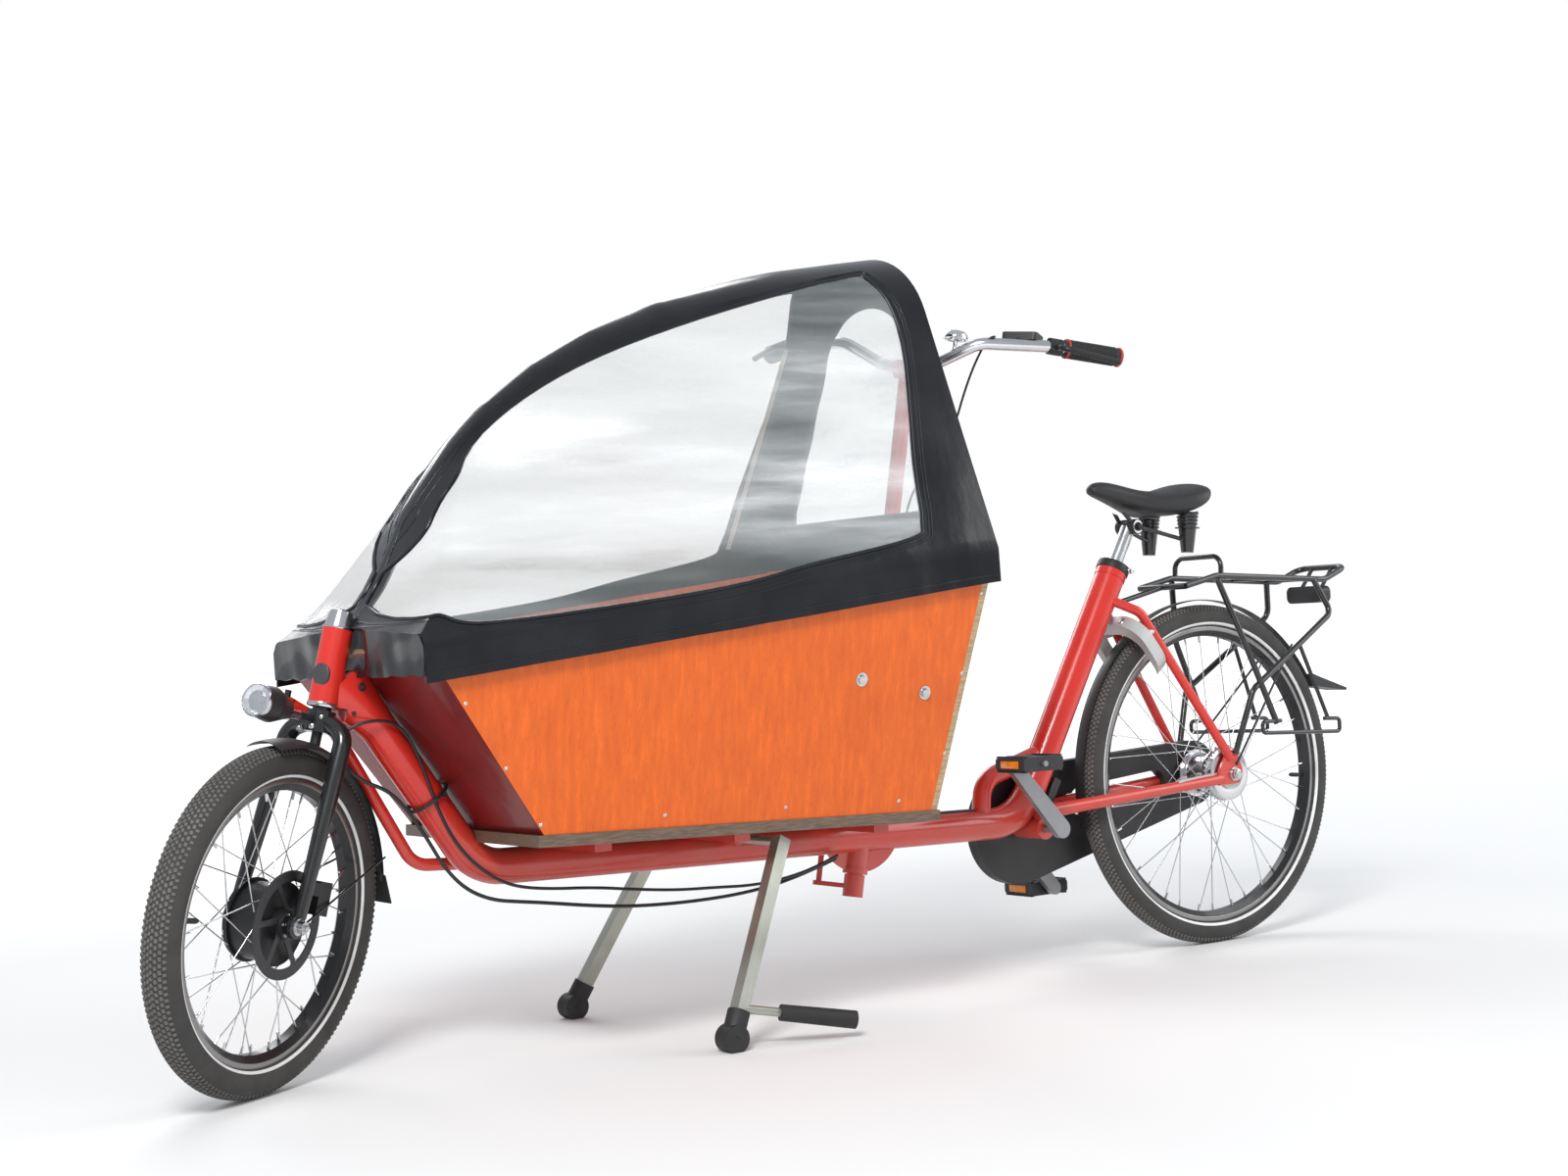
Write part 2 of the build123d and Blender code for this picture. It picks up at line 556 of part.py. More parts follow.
# Tubular rear carrier with legs to the dropouts, and low rails for a bag
rack_r = 6.0
rack_half = 62.0
with BuildPart() as rear_carrier:
    near_rail = [(-96, -rack_half, 694), (-10, -rack_half, 712), (296, -rack_half, 697), (362, -rack_half, 722)]
    far_rail = [(x, -y, z) for x, y, z in reversed(near_rail)]
    add(bent_tube(near_rail + far_rail, [50, 50, 22, 22, 50, 50], rack_r))
    for cross_x, cross_z in ((60, 708.5), (160, 703.5), (260, 699.0)):
        add(bar_between((cross_x, -rack_half, cross_z), (cross_x, rack_half, cross_z), 4.0))
    add(bent_tube(
        [(2, -rack_half, 711), (4, -rack_half, 750), (4, rack_half, 750), (2, rack_half, 711)], [22, 22], 5.0))
    for side in (1, -1):
        rail_y = side * 96
        add(bent_tube([(262, side * rack_half, 700), (286, side * 84, 630), (45, side * 90, 488), (2, side * 76, 366)], [22, 22], rack_r))
        add(bent_tube([(-8, side * rack_half, 704), (26, side * 92, 581), (100, rail_y, 420)], [40], rack_r))
        add(bent_tube(
            [(112, rail_y, 424), (60, rail_y, 425), (60, rail_y, 403), (280, rail_y, 393), (280, rail_y, 419),
             (236, rail_y, 421)], [8, 8, 8, 8], 4.0))
        add(bar_between((186, side * 86.5, 571), (247, rail_y, 421), 4.0))
    add(bar_between((-96, -rack_half, 694), (-96, rack_half, 694), rack_r))
    add(bar_between((-250, 0, 660), (-96, 0, 694), 5.0))
    add(main_frame.part, mode=Mode.SUBTRACT)
    add(bar_between(seat_top - seat_axis * 120, seat_top + seat_axis * 30, tube_r), mode=Mode.SUBTRACT)
    add(rear_stays.part, mode=Mode.SUBTRACT)
    add(turned_on_y(rear_centre, [(12, -100, 100)]), mode=Mode.SUBTRACT)
with BuildPart() as rear_light:
    with BuildSketch(Plane(origin=(338 - rack_r - 0.3, 0, 668), x_dir=(0, 1, 0), z_dir=(1, 0, 0))):
        RectangleRounded(90, 34, 12)
    extrude(amount=-30)
    for y in (-26, 26):
        add(bar_between((324, y, 678), (362, y, 722), 4.0))
    add(rear_carrier.part, mode=Mode.SUBTRACT)

# Control box behind the seat tube
with BuildPart() as control_box:
    box_back = seat_corner + seat_axis * 60
    with BuildSketch(Plane(origin=box_back, x_dir=(0, 1, 0), z_dir=seat_axis)):
        with Locations((0, -tube_r - 9)):
            RectangleRounded(44, 17, 4)
    extrude(amount=45, both=True)
    add(main_frame.part, mode=Mode.SUBTRACT)
    add(rear_stays.part, mode=Mode.SUBTRACT)
    add(rear_mudguard.part, mode=Mode.SUBTRACT)

# Box panels. Each is drawn on its own outer face from the box's corner points.
corners = {
    "front_low": (box_front_x, box_front_half, box_front_z),
    "rear_low": (box_rear_x, box_rear_half, box_rear_z),
    "front_high": (rim_front_x, rim_front_half, rim_front_z),
    "rear_high": (rim_rear_x, rim_rear_half, rim_rear_z),
}


def corner(name, side):
    """One corner of the box, on the left (-1) or the right (1)."""
    x, half, z = corners[name]
    return Vector(x, side * half, z)


def panel(points, inward):
    """A flat panel whose outer face runs through the points, thickened towards the inward point."""
    origin, along, third = points[0], points[1] - points[0], points[2] - points[0]
    normal = along.cross(third).normalized()
    if normal.dot(inward - origin) < 0:
        normal = normal * -1
    face = Plane(origin=origin, x_dir=along, z_dir=normal)
    flat = [face.to_local_coords(p) for p in points]
    with BuildPart() as board:
        with BuildSketch(face):
            with BuildLine():
                Polyline(*[(p.X, p.Y) for p in flat], close=True)
            make_face()
        extrude(amount=ply)
    return board.part


box_middle = Vector((box_front_x + box_rear_x) / 2, 0, 480)
side_names = ["front_low", "rear_low", "rear_high", "front_high"]
box_side_left = panel([corner(n, -1) for n in side_names], box_middle)
box_side_right = panel([corner(n, 1) for n in side_names], box_middle)
with BuildPart() as box_sides:
    add(box_side_left)
    add(box_side_right)
with BuildPart() as box_front:
    add(panel([corner("front_low", -1), corner("front_low", 1), corner("front_high", 1), corner("front_high", -1)], box_middle))
    add(box_side_left, mode=Mode.SUBTRACT)
    add(box_side_right, mode=Mode.SUBTRACT)
    add(head_gusset(1), mode=Mode.SUBTRACT)
with BuildPart() as box_rear:
    add(panel([corner("rear_low", -1), corner("rear_low", 1), corner("rear_high", 1), corner("rear_high", -1)], box_middle))
    add(box_side_left, mode=Mode.SUBTRACT)
    add(box_side_right, mode=Mode.SUBTRACT)
# Bench board inside the box, near its back
bench_z = 560.0
with BuildPart() as bench:
    with BuildSketch(Plane.XY.offset(bench_z)):
        with BuildLine():
            Polyline((-1120, -266), (-850, -277), (-850, 277), (-1120, 266), close=True)
        make_face()
    extrude(amount=ply)
    add(box_side_left, mode=Mode.SUBTRACT)
    add(box_side_right, mode=Mode.SUBTRACT)

# Rain hood: sections across the bike, from the rim over a fold to a rounded ridge.
# Each row is (x, fold y, fold z, height of the ridge, radius of the ridge); without a fold both are 0.
hood_front_x = rim_front_x - 7
hood_rear_x = rim_rear_x + hood_wall + 0.5
hood_rows = [
    (hood_front_x, 252, 663, 679, 60),
    (-1761, 211, 711, 740, 60),
    (-1701, 147, 805, 856, 56),
    (-1628, 70, 919, 954, 52),
    (-1563, 0, 0, 1021, 50),
    (-1475, 0, 0, 1087, 56),
    (-1365, 0, 0, 1146, 66),
    (-1243, 0, 0, 1196, 80),
    (-1004, 0, 0, 1257, 130),
    (hood_rear_x, 0, 0, 1290, 175),
]


def rim_at(x):
    """Half width and height of the box's rim under the hood, at one station."""
    part_way = (x - rim_front_x) / (rim_rear_x - rim_front_x)
    half = rim_front_half + part_way * (rim_rear_half - rim_front_half)
    return half, rim_cover + rim_front_z + part_way * (rim_rear_z - rim_front_z)


def hood_solid(inset, base_drop):
    """The closed body of the hood, shrunk by the inset, which hangs below the rim by the drop."""
    with BuildPart() as body:
        for x, fold_y, fold_z, top, crown in hood_rows:
            half, rim = rim_at(x)
            half = half + hood_gap + hood_wall - inset
            station = min(max(x, hood_front_x + inset), hood_rear_x - inset)
            centre = Vector(0, top - crown)
            crown = crown - inset
            fold = Vector(fold_y - inset, fold_z - inset)
            reach = (fold if fold_y else Vector(half, rim)) - centre
            turn = atan2(reach.Y, reach.X) + acos(crown / reach.length)
            touch = centre + Vector(cos(turn), sin(turn)) * crown
            if not fold_y:
                fold = (Vector(half, rim) + touch) * 0.5
            with BuildSketch(Plane(origin=(station, 0, 0), x_dir=(0, 1, 0), z_dir=(1, 0, 0))):
                with BuildLine():
                    Polyline((half, rim - base_drop), (half, rim), (fold.X, fold.Y), (touch.X, touch.Y))
                    ThreePointArc((touch.X, touch.Y), (0, top - inset), (-touch.X, touch.Y))
                    Polyline((-touch.X, touch.Y), (-fold.X, fold.Y), (-half, rim), (-half, rim - base_drop))
                    Line((-half, rim - base_drop), (half, rim - base_drop))
                make_face()
        loft(ruled=True)
    return body.part


def window_cutter(side):
    """Prism through one side window."""
    with BuildPart() as cutter:
        with BuildSketch(Plane(origin=(0, side * 40, 0), x_dir=(side, 0, 0), z_dir=(0, -side, 0))):
            with BuildLine():
                Polyline(*[(side * x, z) for x, z in side_window], close=True)
            make_face()
        extrude(amount=-400)
    return cutter.part


side_window = [
    (-1788, 697), (-1714, 808), (-1654, 893), (-1562, 991), (-1416, 1078), (-1189, 1162), (-918, 1236), (-866, 1228),
    (-852, 1121), (-903, 904), (-922, 812), (-954, 783), (-1142, 748), (-1305, 716), (-1559, 687), (-1715, 676),
    (-1765, 690)]
rear_window = [
    (-70, 1205), (70, 1205), (118, 1145), (158, 1060), (222, 862), (205, 838), (-205, 838), (-222, 862),
    (-158, 1060), (-118, 1145)]
with BuildPart() as rear_cutter:
    with BuildSketch(Plane(origin=(hood_rear_x - 60, 0, 0), x_dir=(0, 1, 0), z_dir=(1, 0, 0))):
        with BuildLine():
            Polyline(*rear_window, close=True)
        make_face()
    extrude(amount=90)
hood_outer = hood_solid(0, skirt_drop)
left_cutter, right_cutter = window_cutter(-1), window_cutter(1)
with BuildPart() as rain_hood:
    add(hood_outer)
    add(hood_solid(hood_wall, skirt_drop + 1), mode=Mode.SUBTRACT)
    add(left_cutter, mode=Mode.SUBTRACT)
    add(right_cutter, mode=Mode.SUBTRACT)
    add(rear_cutter.part, mode=Mode.SUBTRACT)
    # The front of the skirt is notched round the head tube and the main tube.
    with BuildSketch(Plane.XY.offset(560)):
        with Locations((hood_front_x, 0)):
            Rectangle(30, 2 * tube_r + 12)
    extrude(amount=80, mode=Mode.SUBTRACT)
    add(bar_between(column_foot + column_axis * 300, column_foot + column_axis * 800, column_r + 5), mode=Mode.SUBTRACT)
    for board in (box_side_left, box_side_right, box_front.part, box_rear.part):
        add(board, mode=Mode.SUBTRACT)
    add(bar_between(steer_foot + steer_axis * 200, steer_foot + steer_axis * 500, head_tube_r + 6), mode=Mode.SUBTRACT)
hood_cloth = rain_hood.part.solids().sort_by(SortBy.VOLUME)[-1]
with BuildPart() as clear_shell:
    add(hood_solid(1, skirt_drop))
    add(hood_solid(3, skirt_drop + 1), mode=Mode.SUBTRACT)
windows = {}
for name, cutter in (("left", left_cutter), ("right", right_cutter), ("rear", rear_cutter.part)):
    with BuildPart() as pane:
        add(clear_shell.part)
        add(cutter, mode=Mode.INTERSECT)
    windows[name] = pane.part

# Steering rod on the right of the main tube, bent down from the fork's arm and under the box
arm_back = (column_place * Pos(0, -arm_length, 0)).position
arm_front = (fork_place * Pos(0, -arm_length, rod_front_w)).position
rod_y = arm_back.Y
rod_r = 10.0
rod_low = Vector(arm_back.X, rod_y, arm_back.Z) + column_axis * 40
with BuildPart() as steering_rod:
    add(bent_tube(
        [arm_front, (-1810, rod_y, 526), (-1686, rod_y, 307), rod_low], [50, 45], rod_r))
    add(bar_between(arm_front - steer_axis * 6, arm_front + steer_axis * 6, 13.0))
    add(bar_between(rod_low - column_axis * 10, rod_low + column_axis * 10, 13.0))
    add(bar_between(arm_front - steer_axis * 40, arm_front + steer_axis * 40, 6.0), mode=Mode.SUBTRACT)
    add(bar_between(rod_low - column_axis * 40, rod_low + column_axis * 40, 5.05), mode=Mode.SUBTRACT)

stem_w = 902.0

# Swept handlebar: rows of (forward, left, up the column) for one half
bar_r = 11.0
bar_half = [(0, 48, 910), (-6, 128, 952), (-64, 247, 962), (-154, 339, 967)]
left_half = [Vector(*row) for row in bar_half]
right_half = [Vector(p.X, -p.Y, p.Z) for p in reversed(left_half)]
handlebar = bent_tube(right_half + [Vector(0, 0, stem_w)] + left_half, [45, 60, 40, 200, 40, 60, 45], bar_r)
# Steering column in its own frame, like the fork: shaft, lower arm and rod pin, and the stem
with BuildPart() as steering_column:
    add(bar_between((0, 0, -38), (0, 0, 1), 18.0))
    add(bar_between((0, 0, -38), (0, 0, stem_w - 8), column_r))
    with BuildSketch(Plane.XY.offset(-24)):
        with Locations((0, -arm_length / 2)):
            SlotCenterToCenter(arm_length, 20, rotation=90)
    extrude(amount=8)
    add(bar_between((0, -arm_length, -20), (0, -arm_length, 62), 5.0))
    add(bar_between((0, -22, stem_w), (0, 22, stem_w), 17.0))
    add(handlebar, mode=Mode.SUBTRACT)

# Rubber grips
grip_r = 16.0
grip_long = 108.0
with BuildPart() as grips:
    for half in (left_half, right_half[::-1]):
        run = half[3] - half[2]
        start = half[3] - run.normalized() * grip_long
        end = half[3] + run.normalized() * 4
        add(bar_between(start, end, grip_r))
    add(handlebar, mode=Mode.SUBTRACT)

# Rider's controls: brake levers, display and bell
with BuildPart() as brake_levers:
    for half in (left_half, right_half[::-1]):
        out = 1 if half[0].Y > 0 else -1
        run = (half[3] - half[2]).normalized()
        pivot = half[2] + run * 2
        away = Vector(run.Y * out, -run.X * out, 0).normalized()
        add(bar_between(pivot - run * 12, pivot + run * 12, 15.0))
        add(bent_tube([pivot, pivot + away * 42 + Vector(0, 0, -10), pivot + away * 40 + run * 110 + Vector(0, 0, -18)], [16], 5.5))
    add(handlebar, mode=Mode.SUBTRACT)
with BuildPart() as display:
    mount = (left_half[1] + left_half[2]) / 2
    with BuildSketch(Plane(origin=(mount.X - 30, mount.Y, mount.Z + 13))):
        RectangleRounded(46, 66, 8)
    extrude(amount=14)
    add(bar_between(mount, mount + Vector(-20, 0, 18), 7.0))
    add(handlebar, mode=Mode.SUBTRACT)
with BuildPart() as bell:
    bell_at = Vector(-3, 84, 958)
    add(bar_between(bell_at, bell_at + Vector(0, 0, 16), 22.0, 14.0))
    add(bar_between(bell_at - Vector(0, 0, 30), bell_at, 4.0))
    add(handlebar, mode=Mode.SUBTRACT)

# Stand: two splayed square legs on one cross shaft, rubber feet and a foot lever with a ribbed grip
pivot = Vector(stand_x, 0, stand_z)
foot_centre_z = 20.0
with BuildPart() as stand:
    add(turned_on_y(pivot, [(shaft_r, -stand_half - 8, stand_half + 8)]))
    for side in (1, -1):
        top = Vector(stand_x, side * stand_half, stand_z)
        foot = Vector(foot_x, side * foot_half, foot_centre_z)
        along = (foot - top).normalized()
        with BuildSketch(Plane(origin=top - along * 6, x_dir=Vector(0, 1, 0).cross(along), z_dir=along)):
            Rectangle(leg_side, leg_side)
        extrude(amount=(foot - top).length - 12)
    lever_root = Vector(-1283, -236, 62)
    lever_tip = Vector(-1110, -292, 28)
    add(bar_between(lever_root, lever_tip, 7.0))
with BuildPart() as stand_rubbers:
    for side in (1, -1):
        foot = Vector(foot_x, side * foot_half, foot_centre_z)
        top = Vector(stand_x, side * stand_half, stand_z)
        along = (top - foot).normalized()
        with BuildSketch(Plane(origin=(0, side * foot_half, 0), x_dir=(1, 0, 0), z_dir=(0, -1, 0))):
            with Locations((foot_x, foot_centre_z)):
                Circle(foot_centre_z + 2)
        extrude(amount=16, both=True)
        add(bar_between(foot, foot + along * 44, 18.0))
    with BuildSketch(Plane.XY):
        with Locations((foot_x, 0)):
            Rectangle(200, 800)
    extrude(amount=-40, mode=Mode.SUBTRACT)
    lever_run = (lever_tip - lever_root).normalized()
    add(bar_between(lever_tip - lever_run * 120, lever_tip + lever_run * 5, 13.0, 14.5))
    add(stand.part, mode=Mode.SUBTRACT)

pieces = {
    "main_frame": main_frame.part,
    "cross_members": cross_members.part,
    "headset_cap": headset_cap.part,
    "rear_stays": rear_stays.part,
    "rear_mudguard": rear_mudguard.part,
    "chain_case": chain_case.part,
    "rear_brake": rear_brake.part,
    "rear_axle": rear_axle,
    "ring_lock": ring_lock.part,
    "rear_carrier": rear_carrier.part,
    "rear_light": rear_light.part,
    "control_box": control_box.part,
    "seat_post": seat_post.part,
    "saddle": saddle.part,
    "saddle_springs": saddle_springs.part,
    "box_sides": box_sides.part,
    "box_front": box_front.part,
    "box_rear": box_rear.part,
    "box_floor": box_floor.part,
    "bench": bench.part,
    "rain_hood": hood_cloth,
    "hood_window_left": windows["left"],
    "hood_window_right": windows["right"],
    "hood_window_rear": windows["rear"],
    "fork": fork.part.moved(fork_place),
    "front_axle": front_axle.moved(fork_place),
    "front_mudguard": front_mudguard.part.moved(fork_place),
    "headlamp": headlamp.part.moved(fork_place),
    "headlamp_lens": headlamp_lens.part.moved(fork_place),
    "front_caliper": front_caliper.part.moved(fork_place),
    "front_tyre": front_tyre.moved(fork_place),
    "front_rim": front_rim.moved(fork_place),
    "front_spokes": front_spokes.moved(fork_place),
    "front_motor": front_motor.moved(fork_place),
    "brake_disc": brake_disc.part.moved(fork_place),
    "rear_tyre": rear_tyre,
    "rear_rim": rear_rim,
    "rear_spokes": rear_spokes,
    "rear_hub": rear_hub,
    "steering_column": steering_column.part.moved(column_place),
    "handlebar": handlebar.moved(column_place),
    "grips": grips.part.moved(column_place),
    "brake_levers": brake_levers.part.moved(column_place),
    "display": display.part.moved(column_place),
    "bell": bell.part.moved(column_place),
    "steering_rod": steering_rod.part,
    "crankset": crankset.part,
    "pedal_left": pedal_parts["left"],
    "pedal_right": pedal_parts["right"],
    "stand": stand.part,
    "stand_rubbers": stand_rubbers.part,
}

# The origin is on the floor under the middle of the bike's overall box.
whole = Compound(children=[Compound(piece.wrapped) for piece in pieces.values()]).bounding_box()
shift = Vector(-whole.center().X, -whole.center().Y, 0)
os.makedirs("parts", exist_ok=True)
for name, piece in pieces.items():
    piece = piece.moved(Location(shift))
    piece.label = name
    export_step(piece, f"parts/{name}.step")
print("shift", shift, "box", whole.min, whole.max)
for label, point in (("fork", steer_foot + steer_axis * head_low), ("front_axle", fork_place * Pos(fork_offset, 0, 0)), ("column", column_foot),
                     ("rod", arm_back), ("stand", pivot), ("crank", bb_centre), ("rear", rear_centre)):
    at = point.position if isinstance(point, Location) else point
    print(label, at + shift)
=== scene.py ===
import bmesh
import bpy
from math import acos, atan2, cos, pi, radians, sin, sqrt
from mathutils import Matrix, Vector, noise


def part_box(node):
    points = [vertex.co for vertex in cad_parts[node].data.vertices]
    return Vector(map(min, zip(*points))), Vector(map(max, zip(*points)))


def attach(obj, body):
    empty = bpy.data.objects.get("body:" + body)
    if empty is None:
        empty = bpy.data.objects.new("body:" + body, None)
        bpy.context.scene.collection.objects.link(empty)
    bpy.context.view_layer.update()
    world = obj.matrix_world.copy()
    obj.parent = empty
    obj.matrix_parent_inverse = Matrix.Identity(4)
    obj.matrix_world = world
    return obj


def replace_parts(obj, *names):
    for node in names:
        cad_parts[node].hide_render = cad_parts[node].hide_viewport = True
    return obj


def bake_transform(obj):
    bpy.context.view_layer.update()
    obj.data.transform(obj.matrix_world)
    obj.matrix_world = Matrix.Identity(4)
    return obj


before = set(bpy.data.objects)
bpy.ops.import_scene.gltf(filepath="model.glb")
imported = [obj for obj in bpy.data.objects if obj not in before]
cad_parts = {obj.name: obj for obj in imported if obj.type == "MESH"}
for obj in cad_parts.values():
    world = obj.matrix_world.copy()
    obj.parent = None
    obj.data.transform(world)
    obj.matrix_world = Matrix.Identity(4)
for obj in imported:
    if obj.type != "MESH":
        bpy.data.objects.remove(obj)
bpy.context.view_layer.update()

# The red frame is welded from steel tubes and powder coated, so its gloss has a slight orange peel, and road
# dust has dulled the low tubes. Places are in millimetres behind the rear axle, to the right of it and
# above the floor.
low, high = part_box("rear_tyre")
axle_x, axle_y = (low.x + high.x) / 2, (low.y + high.y) / 2


def bike(x, y, z):
    """A place on the bike, as a point of the row frame in metres."""
    return Vector((axle_x + x / 1000, axle_y + y / 1000, z / 1000))


def colour_nodes(name, rough, metallic=0.0, coat=0.0):
    """A new material with its node tree and shader, and its constant sockets set."""
    material = bpy.data.materials.new(name)
    material.use_nodes = True
    tree = material.node_tree
    shader = tree.nodes["Principled BSDF"]
    shader.inputs["Roughness"].default_value = rough
    shader.inputs["Metallic"].default_value = metallic
    shader.inputs["Coat Weight"].default_value = coat
    shader.inputs["Coat Roughness"].default_value = 0.08
    return material, tree, shader


def noise_node(tree, scale, detail=4.0, stretch=(1, 1, 1), turn=0.0):
    """Noise on object coordinates, turned about the bike's cross axis and stretched along the axes."""
    place = tree.nodes.new("ShaderNodeTexCoord")
    mapping = tree.nodes.new("ShaderNodeMapping")
    mapping.inputs["Scale"].default_value = stretch
    mapping.inputs["Rotation"].default_value = (0, turn, 0)
    texture = tree.nodes.new("ShaderNodeTexNoise")
    texture.inputs["Scale"].default_value = scale
    texture.inputs["Detail"].default_value = detail
    tree.links.new(place.outputs["Object"], mapping.inputs["Vector"])
    tree.links.new(mapping.outputs["Vector"], texture.inputs["Vector"])
    return texture.outputs["Fac"]


def ramp_node(tree, factor, stops):
    """Colours along a factor, as rows of (position, red, green, blue)."""
    ramp = tree.nodes.new("ShaderNodeValToRGB")
    while len(ramp.color_ramp.elements) < len(stops):
        ramp.color_ramp.elements.new(0.5)
    for element, (position, red, green, blue) in zip(ramp.color_ramp.elements, stops):
        element.position = position
        element.color = (red, green, blue, 1)
    tree.links.new(factor, ramp.inputs["Fac"])
    return ramp.outputs["Color"]


def bump_node(tree, shader, height, strength, distance):
    """Relief from a height, added to the shader's normal."""
    bump = tree.nodes.new("ShaderNodeBump")
    bump.inputs["Strength"].default_value = strength
    bump.inputs["Distance"].default_value = distance
    tree.links.new(height, bump.inputs["Height"])
    if shader.inputs["Normal"].is_linked:
        tree.links.new(shader.inputs["Normal"].links[0].from_socket, bump.inputs["Normal"])
    tree.links.new(bump.outputs["Normal"], shader.inputs["Normal"])


def plain_finish(name, colour, rough, metallic=0.0, coat=0.0, grain=400, relief=0.15, dull=0.75):
    """A finish with soft blotches of a duller tone, uneven gloss and a fine grain."""
    material, tree, shader = colour_nodes(name, rough, metallic, coat)
    blotch = noise_node(tree, 9, 6)
    worn = [c * dull + 0.03 * (1 - dull) for c in colour]
    tree.links.new(ramp_node(tree, blotch, [(0.35, *colour), (0.75, *worn)]), shader.inputs["Base Color"])
    uneven = ramp_node(tree, noise_node(tree, 26, 5), [(0.3, *[rough * 0.8] * 3),
                                                       (0.8, *[min(1, rough * 1.35)] * 3)])
    tree.links.new(uneven, shader.inputs["Roughness"])
    bump_node(tree, shader, noise_node(tree, grain, 2), relief, 0.0002)
    return material


def dress(material, *names):
    """The CAD nodes take the material, with their facets smoothed below 35 degrees."""
    for name in names:
        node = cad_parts[name]
        node.data.materials.clear()
        node.data.materials.append(material)
        for polygon in node.data.polygons:
            polygon.use_smooth = True
        weld = node.modifiers.new("weld", "WELD")
        weld.merge_threshold = 0.00002
        split = node.modifiers.new("edges", "EDGE_SPLIT")
        split.split_angle = radians(35)


def red_paint():
    """Red powder coat with orange peel and a veil of road dust low down."""
    material, tree, shader = colour_nodes("red_powder_coat", 0.24, coat=0.35)
    place = tree.nodes.new("ShaderNodeTexCoord")
    parts = tree.nodes.new("ShaderNodeSeparateXYZ")
    tree.links.new(place.outputs["Object"], parts.inputs["Vector"])
    height = tree.nodes.new("ShaderNodeMapRange")
    height.inputs["From Min"].default_value = 0.22
    height.inputs["From Max"].default_value = 0.42
    height.inputs["To Min"].default_value = 0.55
    height.inputs["To Max"].default_value = 0.0
    tree.links.new(parts.outputs["Z"], height.inputs["Value"])
    dust = tree.nodes.new("ShaderNodeMath")
    dust.operation = "MULTIPLY"
    tree.links.new(height.outputs["Result"], dust.inputs[0])
    tree.links.new(noise_node(tree, 14, 8), dust.inputs[1])
    mix = tree.nodes.new("ShaderNodeMix")
    mix.data_type = "RGBA"
    mix.inputs["B"].default_value = (0.36, 0.20, 0.15, 1)
    tree.links.new(dust.outputs["Value"], mix.inputs["Factor"])
    red = ramp_node(tree, noise_node(tree, 6, 5), [(0.3, 0.66, 0.028, 0.017), (0.8, 0.54, 0.021, 0.013)])
    tree.links.new(red, mix.inputs["A"])
    tree.links.new(mix.outputs["Result"], shader.inputs["Base Color"])
    bump_node(tree, shader, noise_node(tree, 260, 2), 0.10, 0.0003)
    return material


red = red_paint()
dress(red, "main_frame", "cross_members", "rear_stays", "steering_rod", "steering_column")


def make_piece(name, bm, materials, body, place=None, sharp=35):
    """An object from a bmesh, put in place, with smooth faces between its sharp edges."""
    if place is not None:
        bmesh.ops.transform(bm, matrix=place, verts=bm.verts)
    bmesh.ops.remove_doubles(bm, verts=bm.verts, dist=0.00001)
    bmesh.ops.recalc_face_normals(bm, faces=bm.faces)
    for face in bm.faces:
        face.smooth = True
    for edge in bm.edges:
        if len(edge.link_faces) == 2 and edge.calc_face_angle(0) > radians(sharp):
            edge.smooth = False
    mesh = bpy.data.meshes.new(name)
    bm.to_mesh(mesh)
    bm.free()
    for material in materials if isinstance(materials, list) else [materials]:
        mesh.materials.append(material)
    piece = bpy.data.objects.new(name, mesh)
    bpy.context.scene.collection.objects.link(piece)
    if body:
        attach(piece, body)
    return piece


def axis_place(origin, direction, turn=0.0):
    """A placement whose Z runs along the direction."""
    aimed = Vector(direction).to_track_quat("Z", "Y").to_matrix().to_4x4()
    return Matrix.Translation(origin) @ aimed @ Matrix.Rotation(turn, 4, "Z")


def turned(bm, profile, place=Matrix(), steps=32):
    """Adds a body turned about Z from rows of (radius, height)."""
    verts = [bm.verts.new((r, 0, h)) for r, h in profile]
    edges = [bm.edges.new(pair) for pair in zip(verts, verts[1:])]
    bmesh.ops.spin(
        bm, geom=verts + edges, cent=(0, 0, 0), axis=(0, 0, 1), angle=2 * pi, steps=steps, use_merge=True)
    faces = {face for vert in verts for face in vert.link_faces}
    grown = set(faces)
    while grown:
        grown = {f for face in grown for edge in face.edges for f in edge.link_faces} - faces
        faces |= grown
    bmesh.ops.transform(bm, matrix=place, verts=list({v for face in faces for v in face.verts}))


def round_edges(bm, verts, offset, segments):
    """Rounds all edges that meet at the corners."""
    edges = list({edge for vert in verts for edge in vert.link_edges})
    bmesh.ops.bevel(
        bm, geom=edges, offset=offset, affect="EDGES", segments=segments, profile=0.5, material=-1)


def bolt(bm, place, radius, height, sides=6, washer=1.35):
    """Adds a bolt head with a chamfer on a washer, its base on the placement."""
    turned(bm, [(0, 0), (radius * washer, 0), (radius * washer, height * 0.2), (0, height * 0.2)], place, 20)
    made = bmesh.ops.create_cone(
        bm, cap_ends=True, segments=sides, radius1=radius, radius2=radius, depth=height,
        matrix=place @ Matrix.Translation((0, 0, height * 0.6)))
    round_edges(bm, made["verts"], height * 0.12, 2)


